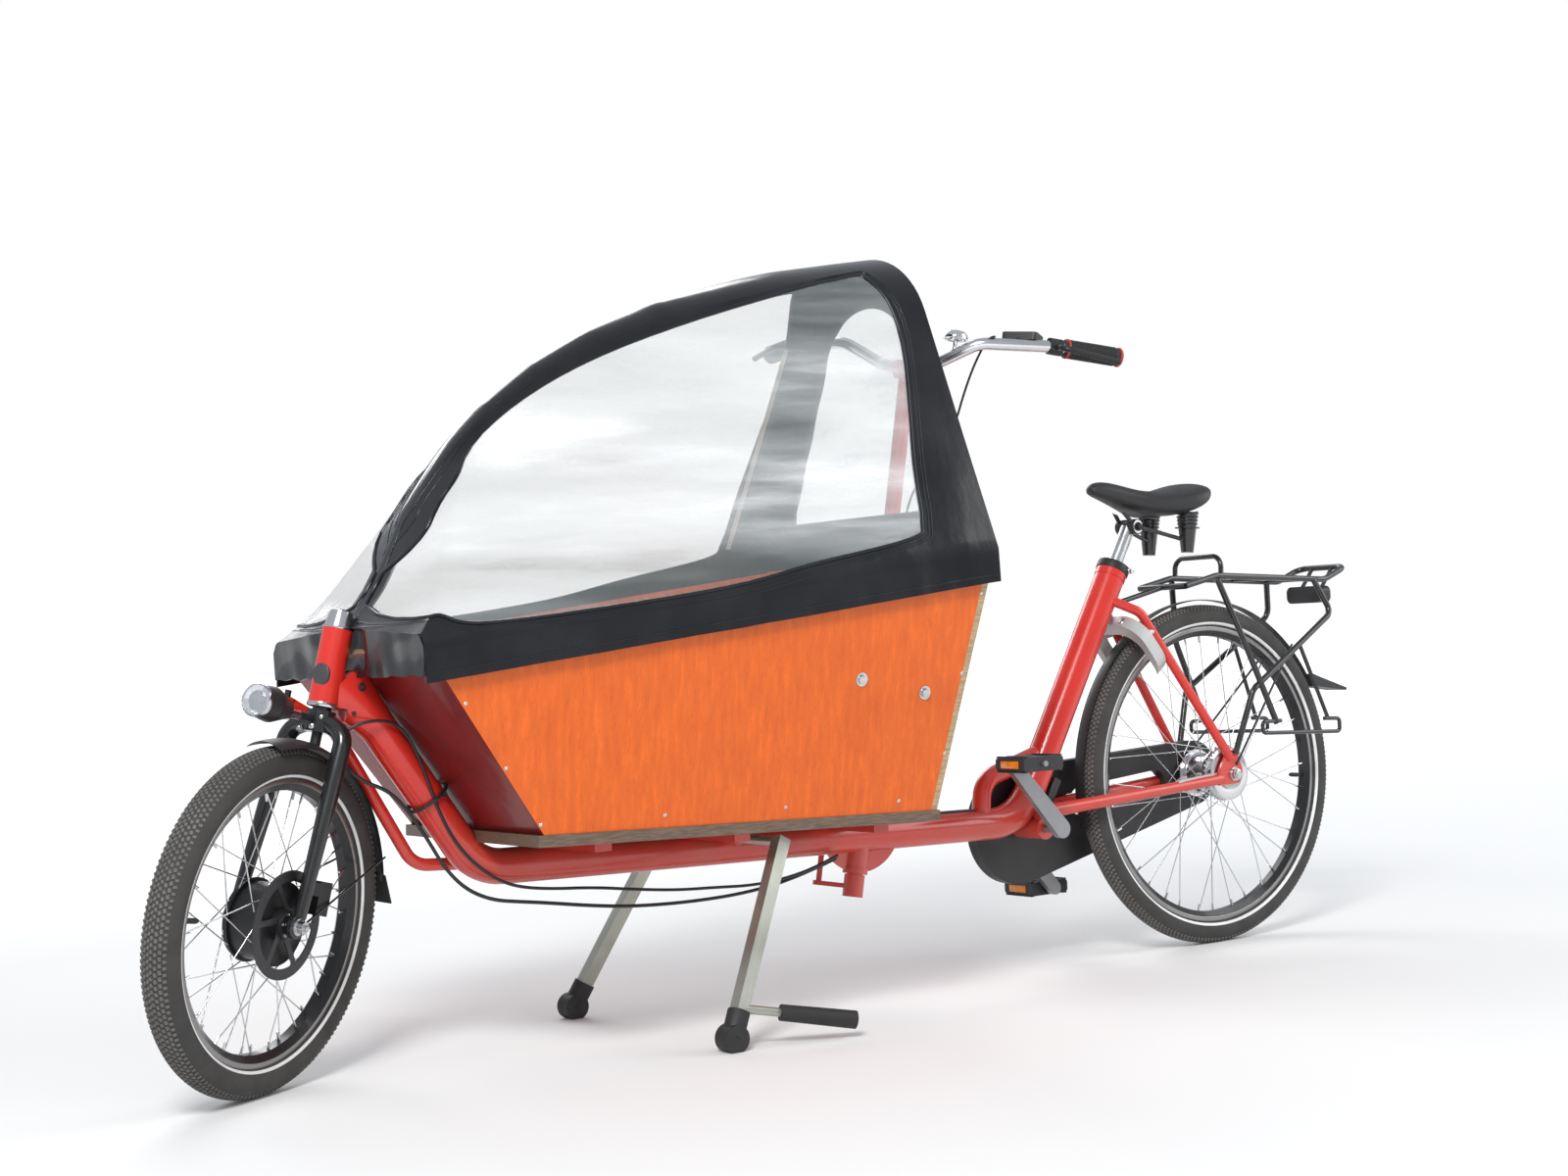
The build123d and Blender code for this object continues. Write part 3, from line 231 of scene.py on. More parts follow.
# Grommets and a small plain badge sit on the frame near the head tube; a rubber strip covers the join of the
# main tube behind the box. Moulded rubber and stamped steel, pushed or riveted on.
rubber_black = plain_finish("moulded_rubber", (0.018, 0.018, 0.019), 0.62, grain=600, relief=0.25)
steel_bright = plain_finish("bright_steel", (0.62, 0.63, 0.64), 0.24, metallic=1.0, grain=700, relief=0.1,
                            dull=0.8)
wheelbase, fork_offset, front_wheel_r, rear_wheel_r = 1967, 33, 257, 328
head_tilt, steer_turn = radians(75), radians(31.4)
steer_foot = bike(-wheelbase + fork_offset * sin(head_tilt), 0, front_wheel_r - fork_offset * cos(head_tilt))
steer_axis = Vector((cos(head_tilt), 0, sin(head_tilt)))


def steered_place(foot, tilt):
    """The placement of a part on a leaning axis, turned as far as the bars are."""
    axes = Matrix(((-sin(tilt), 0, cos(tilt)), (0, -1, 0), (cos(tilt), 0, sin(tilt)))).transposed()
    return Matrix.Translation(foot) @ axes.to_4x4() @ Matrix.Rotation(steer_turn, 4, "Z")


fork_place = steered_place(steer_foot, head_tilt)
tube_down = (bike(-1607, 0, 298) - bike(-1762, 0, 526)).normalized()
bm = bmesh.new()
grommet_half = ((0.45, -0.003), (0.45, 0.0012), (0.72, 0.0026), (1.0, 0.0014), (1.05, -0.004))
for x, y, z, outward, radius in (
        (-1795.7, -20.9, 588.9, (0.158, -0.981, 0.108), 6.5),
        (-1809.7, -19.9, 550.4, (-0.345, -0.909, -0.235), 3.2)):
    ring = [(radius * share / 1000, height) for share, height in grommet_half]
    turned(bm, ring, axis_place(bike(x, y, z), Vector(outward)), 24)
make_piece("frame_grommets", bm, rubber_black, "frame")
bm = bmesh.new()
badge_at = steer_foot + steer_axis * 0.370
badge_out = Vector((-0.781, -0.588, 0.209)).normalized()
turned(bm, [(0, 0.0022), (0.011, 0.0016), (0.0135, 0.0008), (0.0142, -0.002)],
       axis_place(badge_at + badge_out * 0.0222, badge_out), 32)
bmesh.ops.scale(bm, vec=(1, 1, 1.25), space=Matrix.Translation(-badge_at), verts=bm.verts)
make_piece("plain_badge", bm, plain_finish("badge_enamel", (0.05, 0.05, 0.055), 0.3, coat=0.4), "frame")
bm = bmesh.new()
bmesh.ops.create_grid(bm, x_segments=24, y_segments=6, size=1)
for vert in bm.verts:
    x = -695 + 95 * vert.co.x
    around = vert.co.y * 0.42
    lift = 30.2 - 0.8 * abs(vert.co.y) ** 4 - 0.8 * abs(vert.co.x) ** 12
    vert.co = bike(x, lift * sin(around), 279.2 + (-694 - x) * 0.0206 + lift * cos(around))
bmesh.ops.solidify(bm, geom=bm.faces[:], thickness=0.0018)
make_piece("rubber_strip", bm, rubber_black, "frame")

# Two black cables loop from the fork past the head tube, run down the left of the main tube under one tie and
# hang below it as far as the cranks. Another drops from the left lever to the column.
def bead(name, points, radius, roundness, kind="POLY", closed=False):
    """A bmesh of a round bead along a straight-edged line, or of a capped cord along a smooth one."""
    curve = bpy.data.curves.new(name, "CURVE")
    curve.dimensions = "3D"
    curve.bevel_depth = radius
    curve.bevel_resolution = roundness
    curve.use_fill_caps = kind == "NURBS"
    line = curve.splines.new(kind)
    line.points.add(len(points) - 1)
    line.use_cyclic_u = closed
    for point, place in zip(line.points, points):
        point.co = (*place, 1)
    if kind == "NURBS":
        line.order_u = 3
        line.use_endpoint_u = True
        line.resolution_u = 6
    holder = bpy.data.objects.new(name + "_curve", curve)
    bpy.context.scene.collection.objects.link(holder)
    bpy.context.view_layer.update()
    mesh = bpy.data.meshes.new_from_object(holder.evaluated_get(bpy.context.evaluated_depsgraph_get()))
    bpy.data.objects.remove(holder)
    bm = bmesh.new()
    bm.from_mesh(mesh)
    return bm


def cable(name, body, radius, route):
    """A smooth round cable, as a mesh, whose control points are places on the bike."""
    bm = bead(name, [bike(*place) for place in route], radius, 3, kind="NURBS")
    piece = make_piece(name, bm, cable_black, body, sharp=60)
    if body is None:
        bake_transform(piece)


cable_black = plain_finish("cable_casing", (0.014, 0.014, 0.015), 0.38, grain=700, relief=0.15)
cable("cable_upper", None, 0.0026, [
    (-1833, -25, 519), (-1820, -31, 531), (-1800, -38, 537), (-1776, -40, 538), (-1750, -38, 531),
    (-1730, -34, 512), (-1712, -32, 478), (-1697, -31, 438), (-1683, -30, 398), (-1662, -31, 352),
    (-1632, -32, 314), (-1598, -32, 286), (-1556, -29, 266), (-1496, -27, 256), (-1412, -25, 250),
    (-1330, -24, 238), (-1250, -24, 229), (-1177, -24, 226), (-1109, -26, 222), (-1040, -28, 227),
    (-976, -30, 240), (-930, -30, 256)])
cable("cable_lower", None, 0.0030, [
    (-1836, -24, 488), (-1826, -31, 464), (-1802, -36, 446), (-1772, -37, 434), (-1748, -35, 414),
    (-1724, -34, 384), (-1700, -33, 346), (-1676, -31, 306), (-1640, -27, 270), (-1592, -21, 248),
    (-1540, -18, 240), (-1497, -18, 234), (-1412, -15, 220), (-1330, -13, 210), (-1220, -14, 206),
    (-1109, -18, 210), (-1010, -22, 226), (-930, -24, 250)])
cable("cable_lever", "handlebar_unit", 0.0022, [
    (-600, -126, 1146), (-609, -123, 1146), (-617, -112, 1130), (-622, -88, 1096), (-622, -58, 1051),
    (-626, -36, 1000), (-664, -22, 940), (-718, -14, 880), (-739, -8, 800), (-763, -8, 680),
    (-779, -8, 600)])


def block(bm, place, long, wide, tall):
    """Adds a block with its middle on the placement, and gives its corners."""
    return bmesh.ops.create_cube(bm, size=1, matrix=place @ Matrix.Diagonal((long, wide, tall, 1)))["verts"]


tie_at = bike(-1762, 0, 526) + tube_down * 0.136
bm = bmesh.new()
turned(bm, [(0.0318, -0.0025), (0.0360, -0.0025), (0.0360, 0.0025), (0.0318, 0.0025), (0.0318, -0.0025)],
       axis_place(tie_at, tube_down), 40)
block(bm, axis_place(tie_at + Vector((0.012, -0.036, 0.006)), tube_down), 0.007, 0.006, 0.006)
make_piece("cable_tie", bm, cable_black, "frame")

# The headset cap and the rings at both ends of the head tube are turned from aluminium and polished. The
# cables end in ferrules of the same metal on the fork, and one bolt closes the clamp round the seat post.
polished = plain_finish("polished_alloy", (0.72, 0.72, 0.74), 0.16, metallic=1.0, grain=500, relief=0.06,
                        dull=0.85)
dress(polished, "headset_cap", "handlebar", "rear_hub")
dress(plain_finish("smooth_post_alloy", (0.66, 0.66, 0.68), 0.24, metallic=1.0, grain=90, relief=0.03,
                   dull=0.9), "seat_post")
bm = bmesh.new()
for up, lip, tall in ((0.4435, 0.0240, 0.004), (0.3245, 0.0244, 0.006)):
    ring = [(0.0236, 0), (lip, tall / 2), (0.0236, tall)]
    turned(bm, ring, axis_place(steer_foot + steer_axis * up, steer_axis), 40)
make_piece("headset_rings", bm, polished, "frame")
bm = bmesh.new()
for start, onward in (((-1833, -25, 519), (0.72, -0.36, 0.60)), ((-1838, -22, 496), (0.35, -0.25, -0.9))):
    turned(bm, [(0, -0.009), (0.0042, -0.009), (0.0042, 0.004), (0.0034, 0.005), (0.0034, 0.010), (0, 0.010)],
           axis_place(bike(*start), Vector(onward)), 20)
make_piece("cable_ferrules", bm, polished, "front_fork")
bm = bmesh.new()
bolt(bm, axis_place(bike(-208, -29.5, 727), Vector((0.1, -0.99, -0.06))), 0.0052, 0.006, 12, 1.3)
make_piece("seat_clamp_bolt", bm, polished, "frame")


# The box panels are 12 mm plywood. The sides are stained orange and varnished, with the pale core showing at
# the edges; the front is painted red, darkened further as painted shade on the sloping front; the floor
# board's edge has weathered brown.
def darkened(tree, base, veil, share):
    """A colour multiplied by a veil, for a share of its effect."""
    mix = tree.nodes.new("ShaderNodeMix")
    mix.data_type = "RGBA"
    mix.blend_type = "MULTIPLY"
    mix.inputs["Factor"].default_value = share
    tree.links.new(base, mix.inputs["A"])
    tree.links.new(veil, mix.inputs["B"])
    return mix.outputs["Result"]


def ply_finish(name, face, streak, edge, thin):
    """Stained plywood whose face grain runs up the boards, with layered edges where the surface turns."""
    material, tree, shader = colour_nodes(name, 0.38, coat=0.18)
    shader.inputs["Specular IOR Level"].default_value = 0.35
    grain = noise_node(tree, 5.5, 9, (18, 18, 0.9))
    pores = noise_node(tree, 60, 4, (9, 9, 0.5))
    face_colour = ramp_node(tree, grain, [(0.25, *streak), (0.55, *face),
                                          (0.8, *[min(1, c * 1.22) for c in face])])
    pore_veil = ramp_node(tree, pores, [(0.33, 0.45, 0.40, 0.36), (0.5, 1, 1, 1)])
    stain_veil = ramp_node(tree, noise_node(tree, 2.6, 7, (1, 1, 2)),
                           [(0.30, 0.62, 0.55, 0.5), (0.52, 1, 1, 1)])
    stained = darkened(tree, darkened(tree, face_colour, pore_veil, 0.2), stain_veil, 0.18)
    place = tree.nodes.new("ShaderNodeTexCoord")
    facing = tree.nodes.new("ShaderNodeVectorMath")
    facing.operation = "DOT_PRODUCT"
    facing.inputs[1].default_value = thin
    tree.links.new(place.outputs["Normal"], facing.inputs[0])
    edge_on = tree.nodes.new("ShaderNodeMath")
    edge_on.operation = "ABSOLUTE"
    tree.links.new(facing.outputs["Value"], edge_on.inputs[0])
    is_face = tree.nodes.new("ShaderNodeMath")
    is_face.operation = "GREATER_THAN"
    is_face.inputs[1].default_value = 0.75
    tree.links.new(edge_on.outputs["Value"], is_face.inputs[0])
    both = tree.nodes.new("ShaderNodeMix")
    both.data_type = "RGBA"
    layered = ramp_node(tree, noise_node(tree, 40, 3, (1, 14, 14)),
                        [(0.4, *edge), (0.6, *[c * 0.6 for c in edge])])
    tree.links.new(is_face.outputs["Value"], both.inputs["Factor"])
    tree.links.new(layered, both.inputs["A"])
    tree.links.new(stained, both.inputs["B"])
    tree.links.new(both.outputs["Result"], shader.inputs["Base Color"])
    bump_node(tree, shader, pores, 0.12, 0.0004)
    return material


orange_ply = ply_finish("orange_plywood", (0.70, 0.120, 0.007), (0.62, 0.095, 0.006), (0.50, 0.36, 0.20),
                        (0.04, 0.985, 0.166))
# The front's face colour is red paint darkened to the tone it has in shade: painted shade.
red_ply_darkened_as_painted_shade = ply_finish("red_plywood_in_painted_shade", (0.20, 0.010, 0.010), (0.15, 0.008, 0.008), (0.40, 0.28, 0.16),
                      (0.82, 0, 0.57))
rear_ply = ply_finish("orange_plywood_rear", (0.66, 0.112, 0.007), (0.58, 0.090, 0.006), (0.50, 0.36, 0.20),
                      (0.978, 0, -0.209))
floor_ply = ply_finish("brown_plywood", (0.13, 0.075, 0.048), (0.07, 0.04, 0.026), (0.17, 0.115, 0.08),
                       (0.03, 0, 1))
dress(orange_ply, "box_sides")
dress(red_ply_darkened_as_painted_shade, "box_front")
dress(rear_ply, "box_rear")
dress(floor_ply, "box_floor", "bench")

# Two bright coach bolts hold the bench through each side board, and countersunk steel screws run along its
# edges into the front, the floor and the rear board.
side_normal = Vector((0.0415, -0.985, 0.166))


def side_face(x, z):
    """How far out a side board's face stands, in millimetres: it flares forwards and leans out upwards."""
    return 218 + (12813 * (x + 1606) + 51247 * (z - 358)) / 304194


coach_bolts = [(-1047, 560), (-920, 532)]
edge_screws = [(-1740, 560), (-1672, 462), (-1612, 374), (-1400, 371), (-1180, 365), (-960, 358),
               (-872, 430), (-846, 560), (-815, 690)]
for side, name in ((-1, "left"), (1, "right")):
    bm = bmesh.new()
    out = Vector((-side_normal.x, side * -side_normal.y, -side_normal.z))
    for x, z in coach_bolts:
        bolt(bm, axis_place(bike(x, side * side_face(x, z), z), out), 0.0075, 0.005, 16, 1.5)
    for x, z in edge_screws:
        head = [(0, 0.0006), (0.0022, 0.0008), (0.0036, -0.0004)]
        turned(bm, head, axis_place(bike(x, side * side_face(x, z), z), out), 12)
    make_piece("box_bolts_" + name, bm, steel_bright, "frame")

# The rain hood is coated black cloth and clear foil over a hoop, hung over the box's rim with a skirt. Its
# stations follow the sewn shape: rows of (x, fold y, fold z, ridge height, ridge radius).
hood_front, hood_rear = -1810.0, -787.5
hood_rows = [(hood_front, 252, 663, 679, 60), (-1761, 211, 711, 740, 60), (-1701, 147, 805, 856, 56),
             (-1628, 70, 919, 954, 52), (-1563, 0, 0, 1021, 50), (-1475, 0, 0, 1087, 56),
             (-1365, 0, 0, 1146, 66), (-1243, 0, 0, 1196, 80), (-1004, 0, 0, 1257, 130),
             (hood_rear, 0, 0, 1290, 175)]
side_steps, crown_steps, skirt_steps = 22, 12, 6


def rim_of(x):
    """Half width and height of the rim under the hood."""
    part_way = (x + 1803) / 1011
    return 262 + part_way * 62, 648 + part_way * 115


def hood_profile(row):
    """One half section, from the skirt's edge up to the ridge, as (y, z) points."""
    x, fold_y, fold_z, top, crown = row
    half, rim = rim_of(x)
    fold = Vector((fold_y, fold_z)) if fold_y else Vector((half, rim))
    reach = fold - Vector((0, top - crown))
    turn = atan2(reach.y, reach.x) + acos(crown / reach.length)
    touch = Vector((crown * cos(turn), top - crown + crown * sin(turn)))
    if not fold_y:
        fold = Vector((half, rim)).lerp(touch, 0.5)
    points = [Vector((half, rim - 55 + 55 * i / skirt_steps)) for i in range(skirt_steps)]
    for i in range(side_steps):
        t = 2 * i / side_steps
        points.append(Vector((half, rim)).lerp(fold, t) if t < 1 else fold.lerp(touch, t - 1))
    for i in range(crown_steps + 1):
        angle = turn + (pi / 2 - turn) * i / crown_steps
        points.append(Vector((crown * cos(angle), top - crown + crown * sin(angle))))
    return points


hood_sections = [hood_profile(row) for row in hood_rows]


def eased(p0, p1, p2, p3, t):
    """A point on the smooth curve through four points, at t between the second and the third."""
    return 0.5 * (
        2 * p1 + (p2 - p0) * t + (2 * p0 - 5 * p1 + 4 * p2 - p3) * t * t
        + (3 * p1 - p0 - 3 * p2 + p3) * t ** 3)


def hood_section(x):
    """The half section at any station, eased between the sewn rows."""
    stations = [row[0] for row in hood_rows]
    i = max(k for k in range(len(stations) - 1) if stations[k] <= x or k == 0)
    t = (x - stations[i]) / (stations[i + 1] - stations[i])
    before, after = hood_sections[max(i - 1, 0)], hood_sections[min(i + 2, len(stations) - 1)]
    points = []
    for p0, p1, p2, p3 in zip(before, hood_sections[i], hood_sections[i + 1], after):
        points.append(p1.lerp(p2, t).lerp(eased(p0, p1, p2, p3, t),
                                          0.75 if 0 < i < len(stations) - 2 else 0.25))
    return points


def hood_depth(x, z):
    """How far out the hood's side stands at a station and height, in millimetres."""
    points = hood_section(x)
    for a, b in zip(points, points[1:]):
        if a.y <= z <= b.y:
            return a.x + (b.x - a.x) * (z - a.y) / max(b.y - a.y, 0.01)
    return 0.0


def hood_height(x, y):
    """How high the hood stands at a station and distance from its middle."""
    points = hood_section(x)
    for a, b in zip(points[skirt_steps:], points[skirt_steps + 1:]):
        if b.x <= y <= a.x:
            return a.y + (b.y - a.y) * (a.x - y) / max(a.x - b.x, 0.01)
    return points[-1].y


def pvc_finish():
    """Black coated cloth: soft gloss, a faint weave and broad creases."""
    material, tree, shader = colour_nodes("coated_black_cloth", 0.3, coat=0.25)
    shader.inputs["Specular IOR Level"].default_value = 0.3
    tone = ramp_node(tree, noise_node(tree, 7, 6), [(0.3, 0.005, 0.0055, 0.007), (0.75, 0.013, 0.014, 0.017)])
    tree.links.new(tone, shader.inputs["Base Color"])
    gloss = ramp_node(tree, noise_node(tree, 12, 6), [(0.3, 0.14, 0.14, 0.14), (0.75, 0.28, 0.28, 0.28)])
    tree.links.new(gloss, shader.inputs["Roughness"])
    bump_node(tree, shader, noise_node(tree, 22, 4, (1, 1, 0.35)), 0.35, 0.003)
    bump_node(tree, shader, noise_node(tree, 900, 1), 0.08, 0.0002)
    return material


def foil_finish():
    """Clear foil with long slanting creases and whitish streaks: partly hazy folds, partly painted
    highlights.
    """
    material, tree, shader = colour_nodes("clear_foil", 0.08)
    streaks = noise_node(tree, 3.2, 8, (0.35, 1, 3.2), radians(-38))
    # The whitish streaks and their opacity are partly hazy folds in the foil and partly painted highlights.
    haze_and_painted_highlights = ramp_node(tree, streaks, [(0.42, 0.50, 0.56, 0.56), (0.66, 0.92, 0.94, 0.95)])
    tree.links.new(haze_and_painted_highlights, shader.inputs["Base Color"])
    cover = ramp_node(tree, streaks, [(0.40, 0.10, 0.10, 0.10), (0.58, 0.20, 0.20, 0.20),
                                      (0.72, 0.50, 0.50, 0.50)])
    tree.links.new(cover, shader.inputs["Alpha"])
    shader.inputs["Specular IOR Level"].default_value = 0.9
    bump_node(tree, shader, streaks, 0.8, 0.010)
    bump_node(tree, shader, noise_node(tree, 5, 3, (1.6, 1, 0.5)), 0.5, 0.005)
    material.surface_render_method = "BLENDED"
    return material


black_pvc = pvc_finish()
clear_foil = foil_finish()
bm = bmesh.new()
across = 2 * (skirt_steps + side_steps + crown_steps)
bmesh.ops.create_grid(bm, x_segments=104, y_segments=across, size=0.5)
for vert in bm.verts:
    x = hood_front + (vert.co.x + 0.5) * (hood_rear - hood_front)
    step = round((vert.co.y + 0.5) * across)
    side = -1 if step < across // 2 else 1
    at = hood_section(x)[step if step < across // 2 else across - step]
    crease = noise.noise(Vector((x / 90, side * 3, at.y / 240))) * 2.2
    skirt = max(0.0, (rim_of(x)[1] - at.y) / 55)
    ripple = skirt * (2.2 * noise.noise(Vector((x / 26, side * 9, 1))) + 1.6)
    vert.co = bike(x, side * (at.x + (crease if at.x > 60 else 0) * 0.6 + ripple),
                   at.y + (crease * 0.4 if at.x < 200 else 0))
shell = make_piece("hood_shell", bm, [black_pvc], "frame", sharp=80)


def window_outline(grow):
    """The corners of a side window, grown outwards and run through a smooth closed line."""
    corners = [(-1788, 697), (-1714, 808), (-1654, 893), (-1562, 991), (-1416, 1078), (-1189, 1162),
               (-918, 1236), (-866, 1228), (-852, 1121), (-903, 904), (-922, 812), (-954, 783),
               (-1142, 748), (-1305, 716), (-1559, 687), (-1715, 676), (-1765, 690)]
    middle = Vector((-1300, 950))
    points = []
    for i in range(len(corners)):
        p0, p1, p2, p3 = [Vector(corners[(i + k - 1) % len(corners)]) for k in range(4)]
        for j in range(5):
            p = eased(p0, p1, p2, p3, j / 5)
            points.append(p + (p - middle).normalized() * grow)
    return points


def window_cutter(side, grow):
    """Prism that takes one side window out of the hood."""
    bm = bmesh.new()
    face = bm.faces.new([bm.verts.new(bike(p.x, side * 36, p.y)) for p in window_outline(grow)])
    made = bmesh.ops.extrude_face_region(bm, geom=[face])
    for vert in [v for v in made["geom"] if isinstance(v, bmesh.types.BMVert)]:
        vert.co.y = axle_y + side * 0.5
    return make_piece("cutter", bm, [], "frame")


def cut_copy(source, cutter, name, operation, thickness, material):
    """A copy of a skin with thickness, cut by a prism, as a finished piece."""
    piece = source.copy()
    piece.data = source.data.copy()
    piece.name = name
    bpy.context.scene.collection.objects.link(piece)
    solid = piece.modifiers.new("wall", "SOLIDIFY")
    solid.thickness = thickness
    solid.offset = -1 if thickness > 0.002 else 0
    for each in cutter:
        cut = piece.modifiers.new("cut", "BOOLEAN")
        cut.object, cut.operation, cut.solver = each, operation, "EXACT"
    mesh = bpy.data.meshes.new_from_object(piece.evaluated_get(bpy.context.evaluated_depsgraph_get()))
    piece.modifiers.clear()
    piece.data = mesh
    piece.data.materials.clear()
    piece.data.materials.append(material)
    for polygon in mesh.polygons:
        polygon.material_index = 0
        polygon.use_smooth = True
    split = piece.modifiers.new("edges", "EDGE_SPLIT")
    split.split_angle = radians(50)
    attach(piece, "frame")
    return piece


cutters = [window_cutter(-1, 0), window_cutter(1, 0)]
bpy.context.view_layer.update()
hood_cloth = cut_copy(shell, cutters, "hood_cloth", "DIFFERENCE", 0.0028, black_pvc)
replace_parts(hood_cloth, "rain_hood")
for name, cutter in zip(("left", "right"), cutters):
    pane = cut_copy(shell, [cutter], "foil_" + name, "INTERSECT", 0.0012, clear_foil)
    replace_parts(pane, "hood_window_" + name)
for unused in [shell, *cutters]:
    bpy.data.objects.remove(unused)

# Black piping is welded round each side window, where the foil joins the cloth. Two seams run outside it,
# and one more runs along the skirt's hem.
def hood_path(side, grow, lift):
    """Points round a side window on the hood's surface."""
    path = []
    for p in window_outline(grow):
        x = min(max(p.x, hood_front + 2), hood_rear - 2)
        out = hood_depth(x, p.y)
        if out > 12:
            path.append(bike(x, side * (out + lift), p.y))
        else:
            path.append(bike(x, side * 12, hood_height(x, 12) + lift))
    return path


def piping(name, path, radius, material, body, closed=False):
    """A round bead along a path, as a mesh."""
    bm = bead(name, path, radius, 2, closed=closed)
    return make_piece(name, bm, material, body, sharp=60)


for side, name in ((-1, "left"), (1, "right")):
    piping("window_piping_" + name, hood_path(side, 2, 0.5), 0.0030, black_pvc, "frame", closed=True)
    for grow in (14, 20):
        piping(f"window_seam_{grow}_{name}", hood_path(side, grow, -0.2), 0.0010, black_pvc, "frame",
               closed=True)
    hem = []
    for i in range(120):
        x = hood_front + 4 + i / 119 * (hood_rear - hood_front - 8)
        half, rim = rim_of(x)
        hem.append(bike(x, side * (half + 1.2 + 2.0 * noise.noise(Vector((x / 26, side * 9, 1)))), rim - 42))
    piping("skirt_seam_" + name, hem, 0.0013, black_pvc, "frame")

# A cream zip runs down the inside of the right side's cloth, just behind its window. Its woven tape is
# sewn flat to the cloth.
bm = bmesh.new()
bmesh.ops.create_grid(bm, x_segments=2, y_segments=40, size=0.5)
for vert in bm.verts:
    z = 800 + (vert.co.y + 0.5) * 350
    x = -908 + (z - 800) * 0.16 + vert.co.x * 11
    vert.co = bike(x, hood_depth(x, z) - 4.6, z)
bmesh.ops.solidify(bm, geom=bm.faces[:], thickness=0.0015)
make_piece("hood_zip", bm, plain_finish("cream_zip_tape", (0.70, 0.66, 0.52), 0.7, grain=900, relief=0.4),
           "frame")

# The front wall is the same coated cloth. It hangs from the hood's first hem to below the rim, and is drawn
# in round the head tube.
bm = bmesh.new()
half, rim = rim_of(hood_front)
columns, rows_down = 56, 14
bmesh.ops.create_grid(bm, x_segments=columns, y_segments=rows_down, size=0.5)
for vert in bm.verts:
    y = vert.co.x * 2 * (half + 1.0)
    top_z = hood_height(hood_front, abs(y)) if abs(y) < 252 else rim + 15 * (half - abs(y)) / 10
    hem_z = rim - 44 + 3 * noise.noise(Vector((y / 30, 0, 4)))
    z = hem_z + (vert.co.y + 0.5) * (top_z - hem_z)
    drawn_in = max(0.0, 1 - abs(y) / 70) ** 0.6 * 27 * min(1.0, max(0.0, (z - 600) / 50))
    vert.co = bike(hood_front - 1.5 + drawn_in + 3 * noise.noise(Vector((y / 45, z / 60, 7))), y, z)
neck_half, neck_top = 0.036, 0.614
middles = {face: face.calc_center_median() for face in bm.faces}
near_neck = [face for face, at in middles.items() if abs(at.y - axle_y) < neck_half and at.z < neck_top]
bmesh.ops.delete(bm, geom=near_neck, context="FACES")
bmesh.ops.solidify(bm, geom=bm.faces[:], thickness=0.0018)
make_piece("hood_front_wall", bm, black_pvc, "frame", sharp=60)

# The rear wall is a flat frame of the same cloth, sewn into the hoop. A window of clear foil is welded in
# and laps a little over the frame.
bm = bmesh.new()
section = hood_section(hood_rear)[2:]
ring = [(p.x - 3, p.y) for p in section] + [(-p.x + 3, p.y) for p in section[-2::-1]]
sag = [5 * noise.noise(Vector((y / 90, z / 120, 2))) for y, z in ring]
face = bm.faces.new([bm.verts.new(bike(hood_rear - 4 - dip, y, z - 2)) for dip, (y, z) in zip(sag, ring)])


def towards_middle(spot, share):
    """A place on the rear wall, drawn in to the window's edge."""
    middle_z = 1.010
    rise = spot.z - middle_z
    half_height = (0.70 if rise > 0 else 0.60) * share
    return Vector((spot.x, axle_y + (spot.y - axle_y) * 0.74 * share, middle_z + rise * half_height))


bm_pane = bmesh.new()
bm_pane.faces.new([bm_pane.verts.new(towards_middle(v.co, 1.02)) for v in face.verts])
made = bmesh.ops.extrude_edge_only(bm, edges=face.edges[:])
for vert in [v for v in made["geom"] if isinstance(v, bmesh.types.BMVert)]:
    vert.co = towards_middle(vert.co, 1)
bmesh.ops.delete(bm, geom=[face], context="FACES_ONLY")
bmesh.ops.subdivide_edges(bm, edges=bm.edges[:], cuts=1)
bmesh.ops.solidify(bm, geom=bm.faces[:], thickness=0.0026)
make_piece("hood_rear_cloth", bm, black_pvc, "frame", sharp=60)
bmesh.ops.triangulate(bm_pane, faces=bm_pane.faces[:])
bmesh.ops.solidify(bm_pane, geom=bm_pane.faces[:], thickness=0.0012)
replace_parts(make_piece("foil_rear", bm_pane, clear_foil, "frame"), "hood_window_rear")

# Both tyres have a rounded tread of small blocks, grey side walls and a white reflecting line. The rims are
# deep black aluminium with a bare brake edge, laced with stainless spokes into nipples.
tyre_rubber = plain_finish("tyre_rubber", (0.040, 0.038, 0.036), 0.72, grain=350, relief=0.35, dull=1.5)
tread_rubber = plain_finish("dusty_tread", (0.150, 0.142, 0.132), 0.85, grain=500, relief=0.3, dull=0.45)
black_rim = plain_finish("black_rim", (0.016, 0.016, 0.018), 0.3, metallic=0.4, coat=0.2)
rim_edge = plain_finish("worn_rim_edge", (0.34, 0.33, 0.32), 0.32, metallic=0.9, grain=300)
stripe_white = plain_finish("reflecting_line", (0.86, 0.87, 0.86), 0.4)
spoke_steel = plain_finish("spoke_steel", (0.70, 0.70, 0.71), 0.22, metallic=1.0)
dress(tyre_rubber, "rear_tyre", "front_tyre")
dress(black_rim, "rear_rim", "front_rim")
dress(spoke_steel, "rear_spokes", "front_spokes")


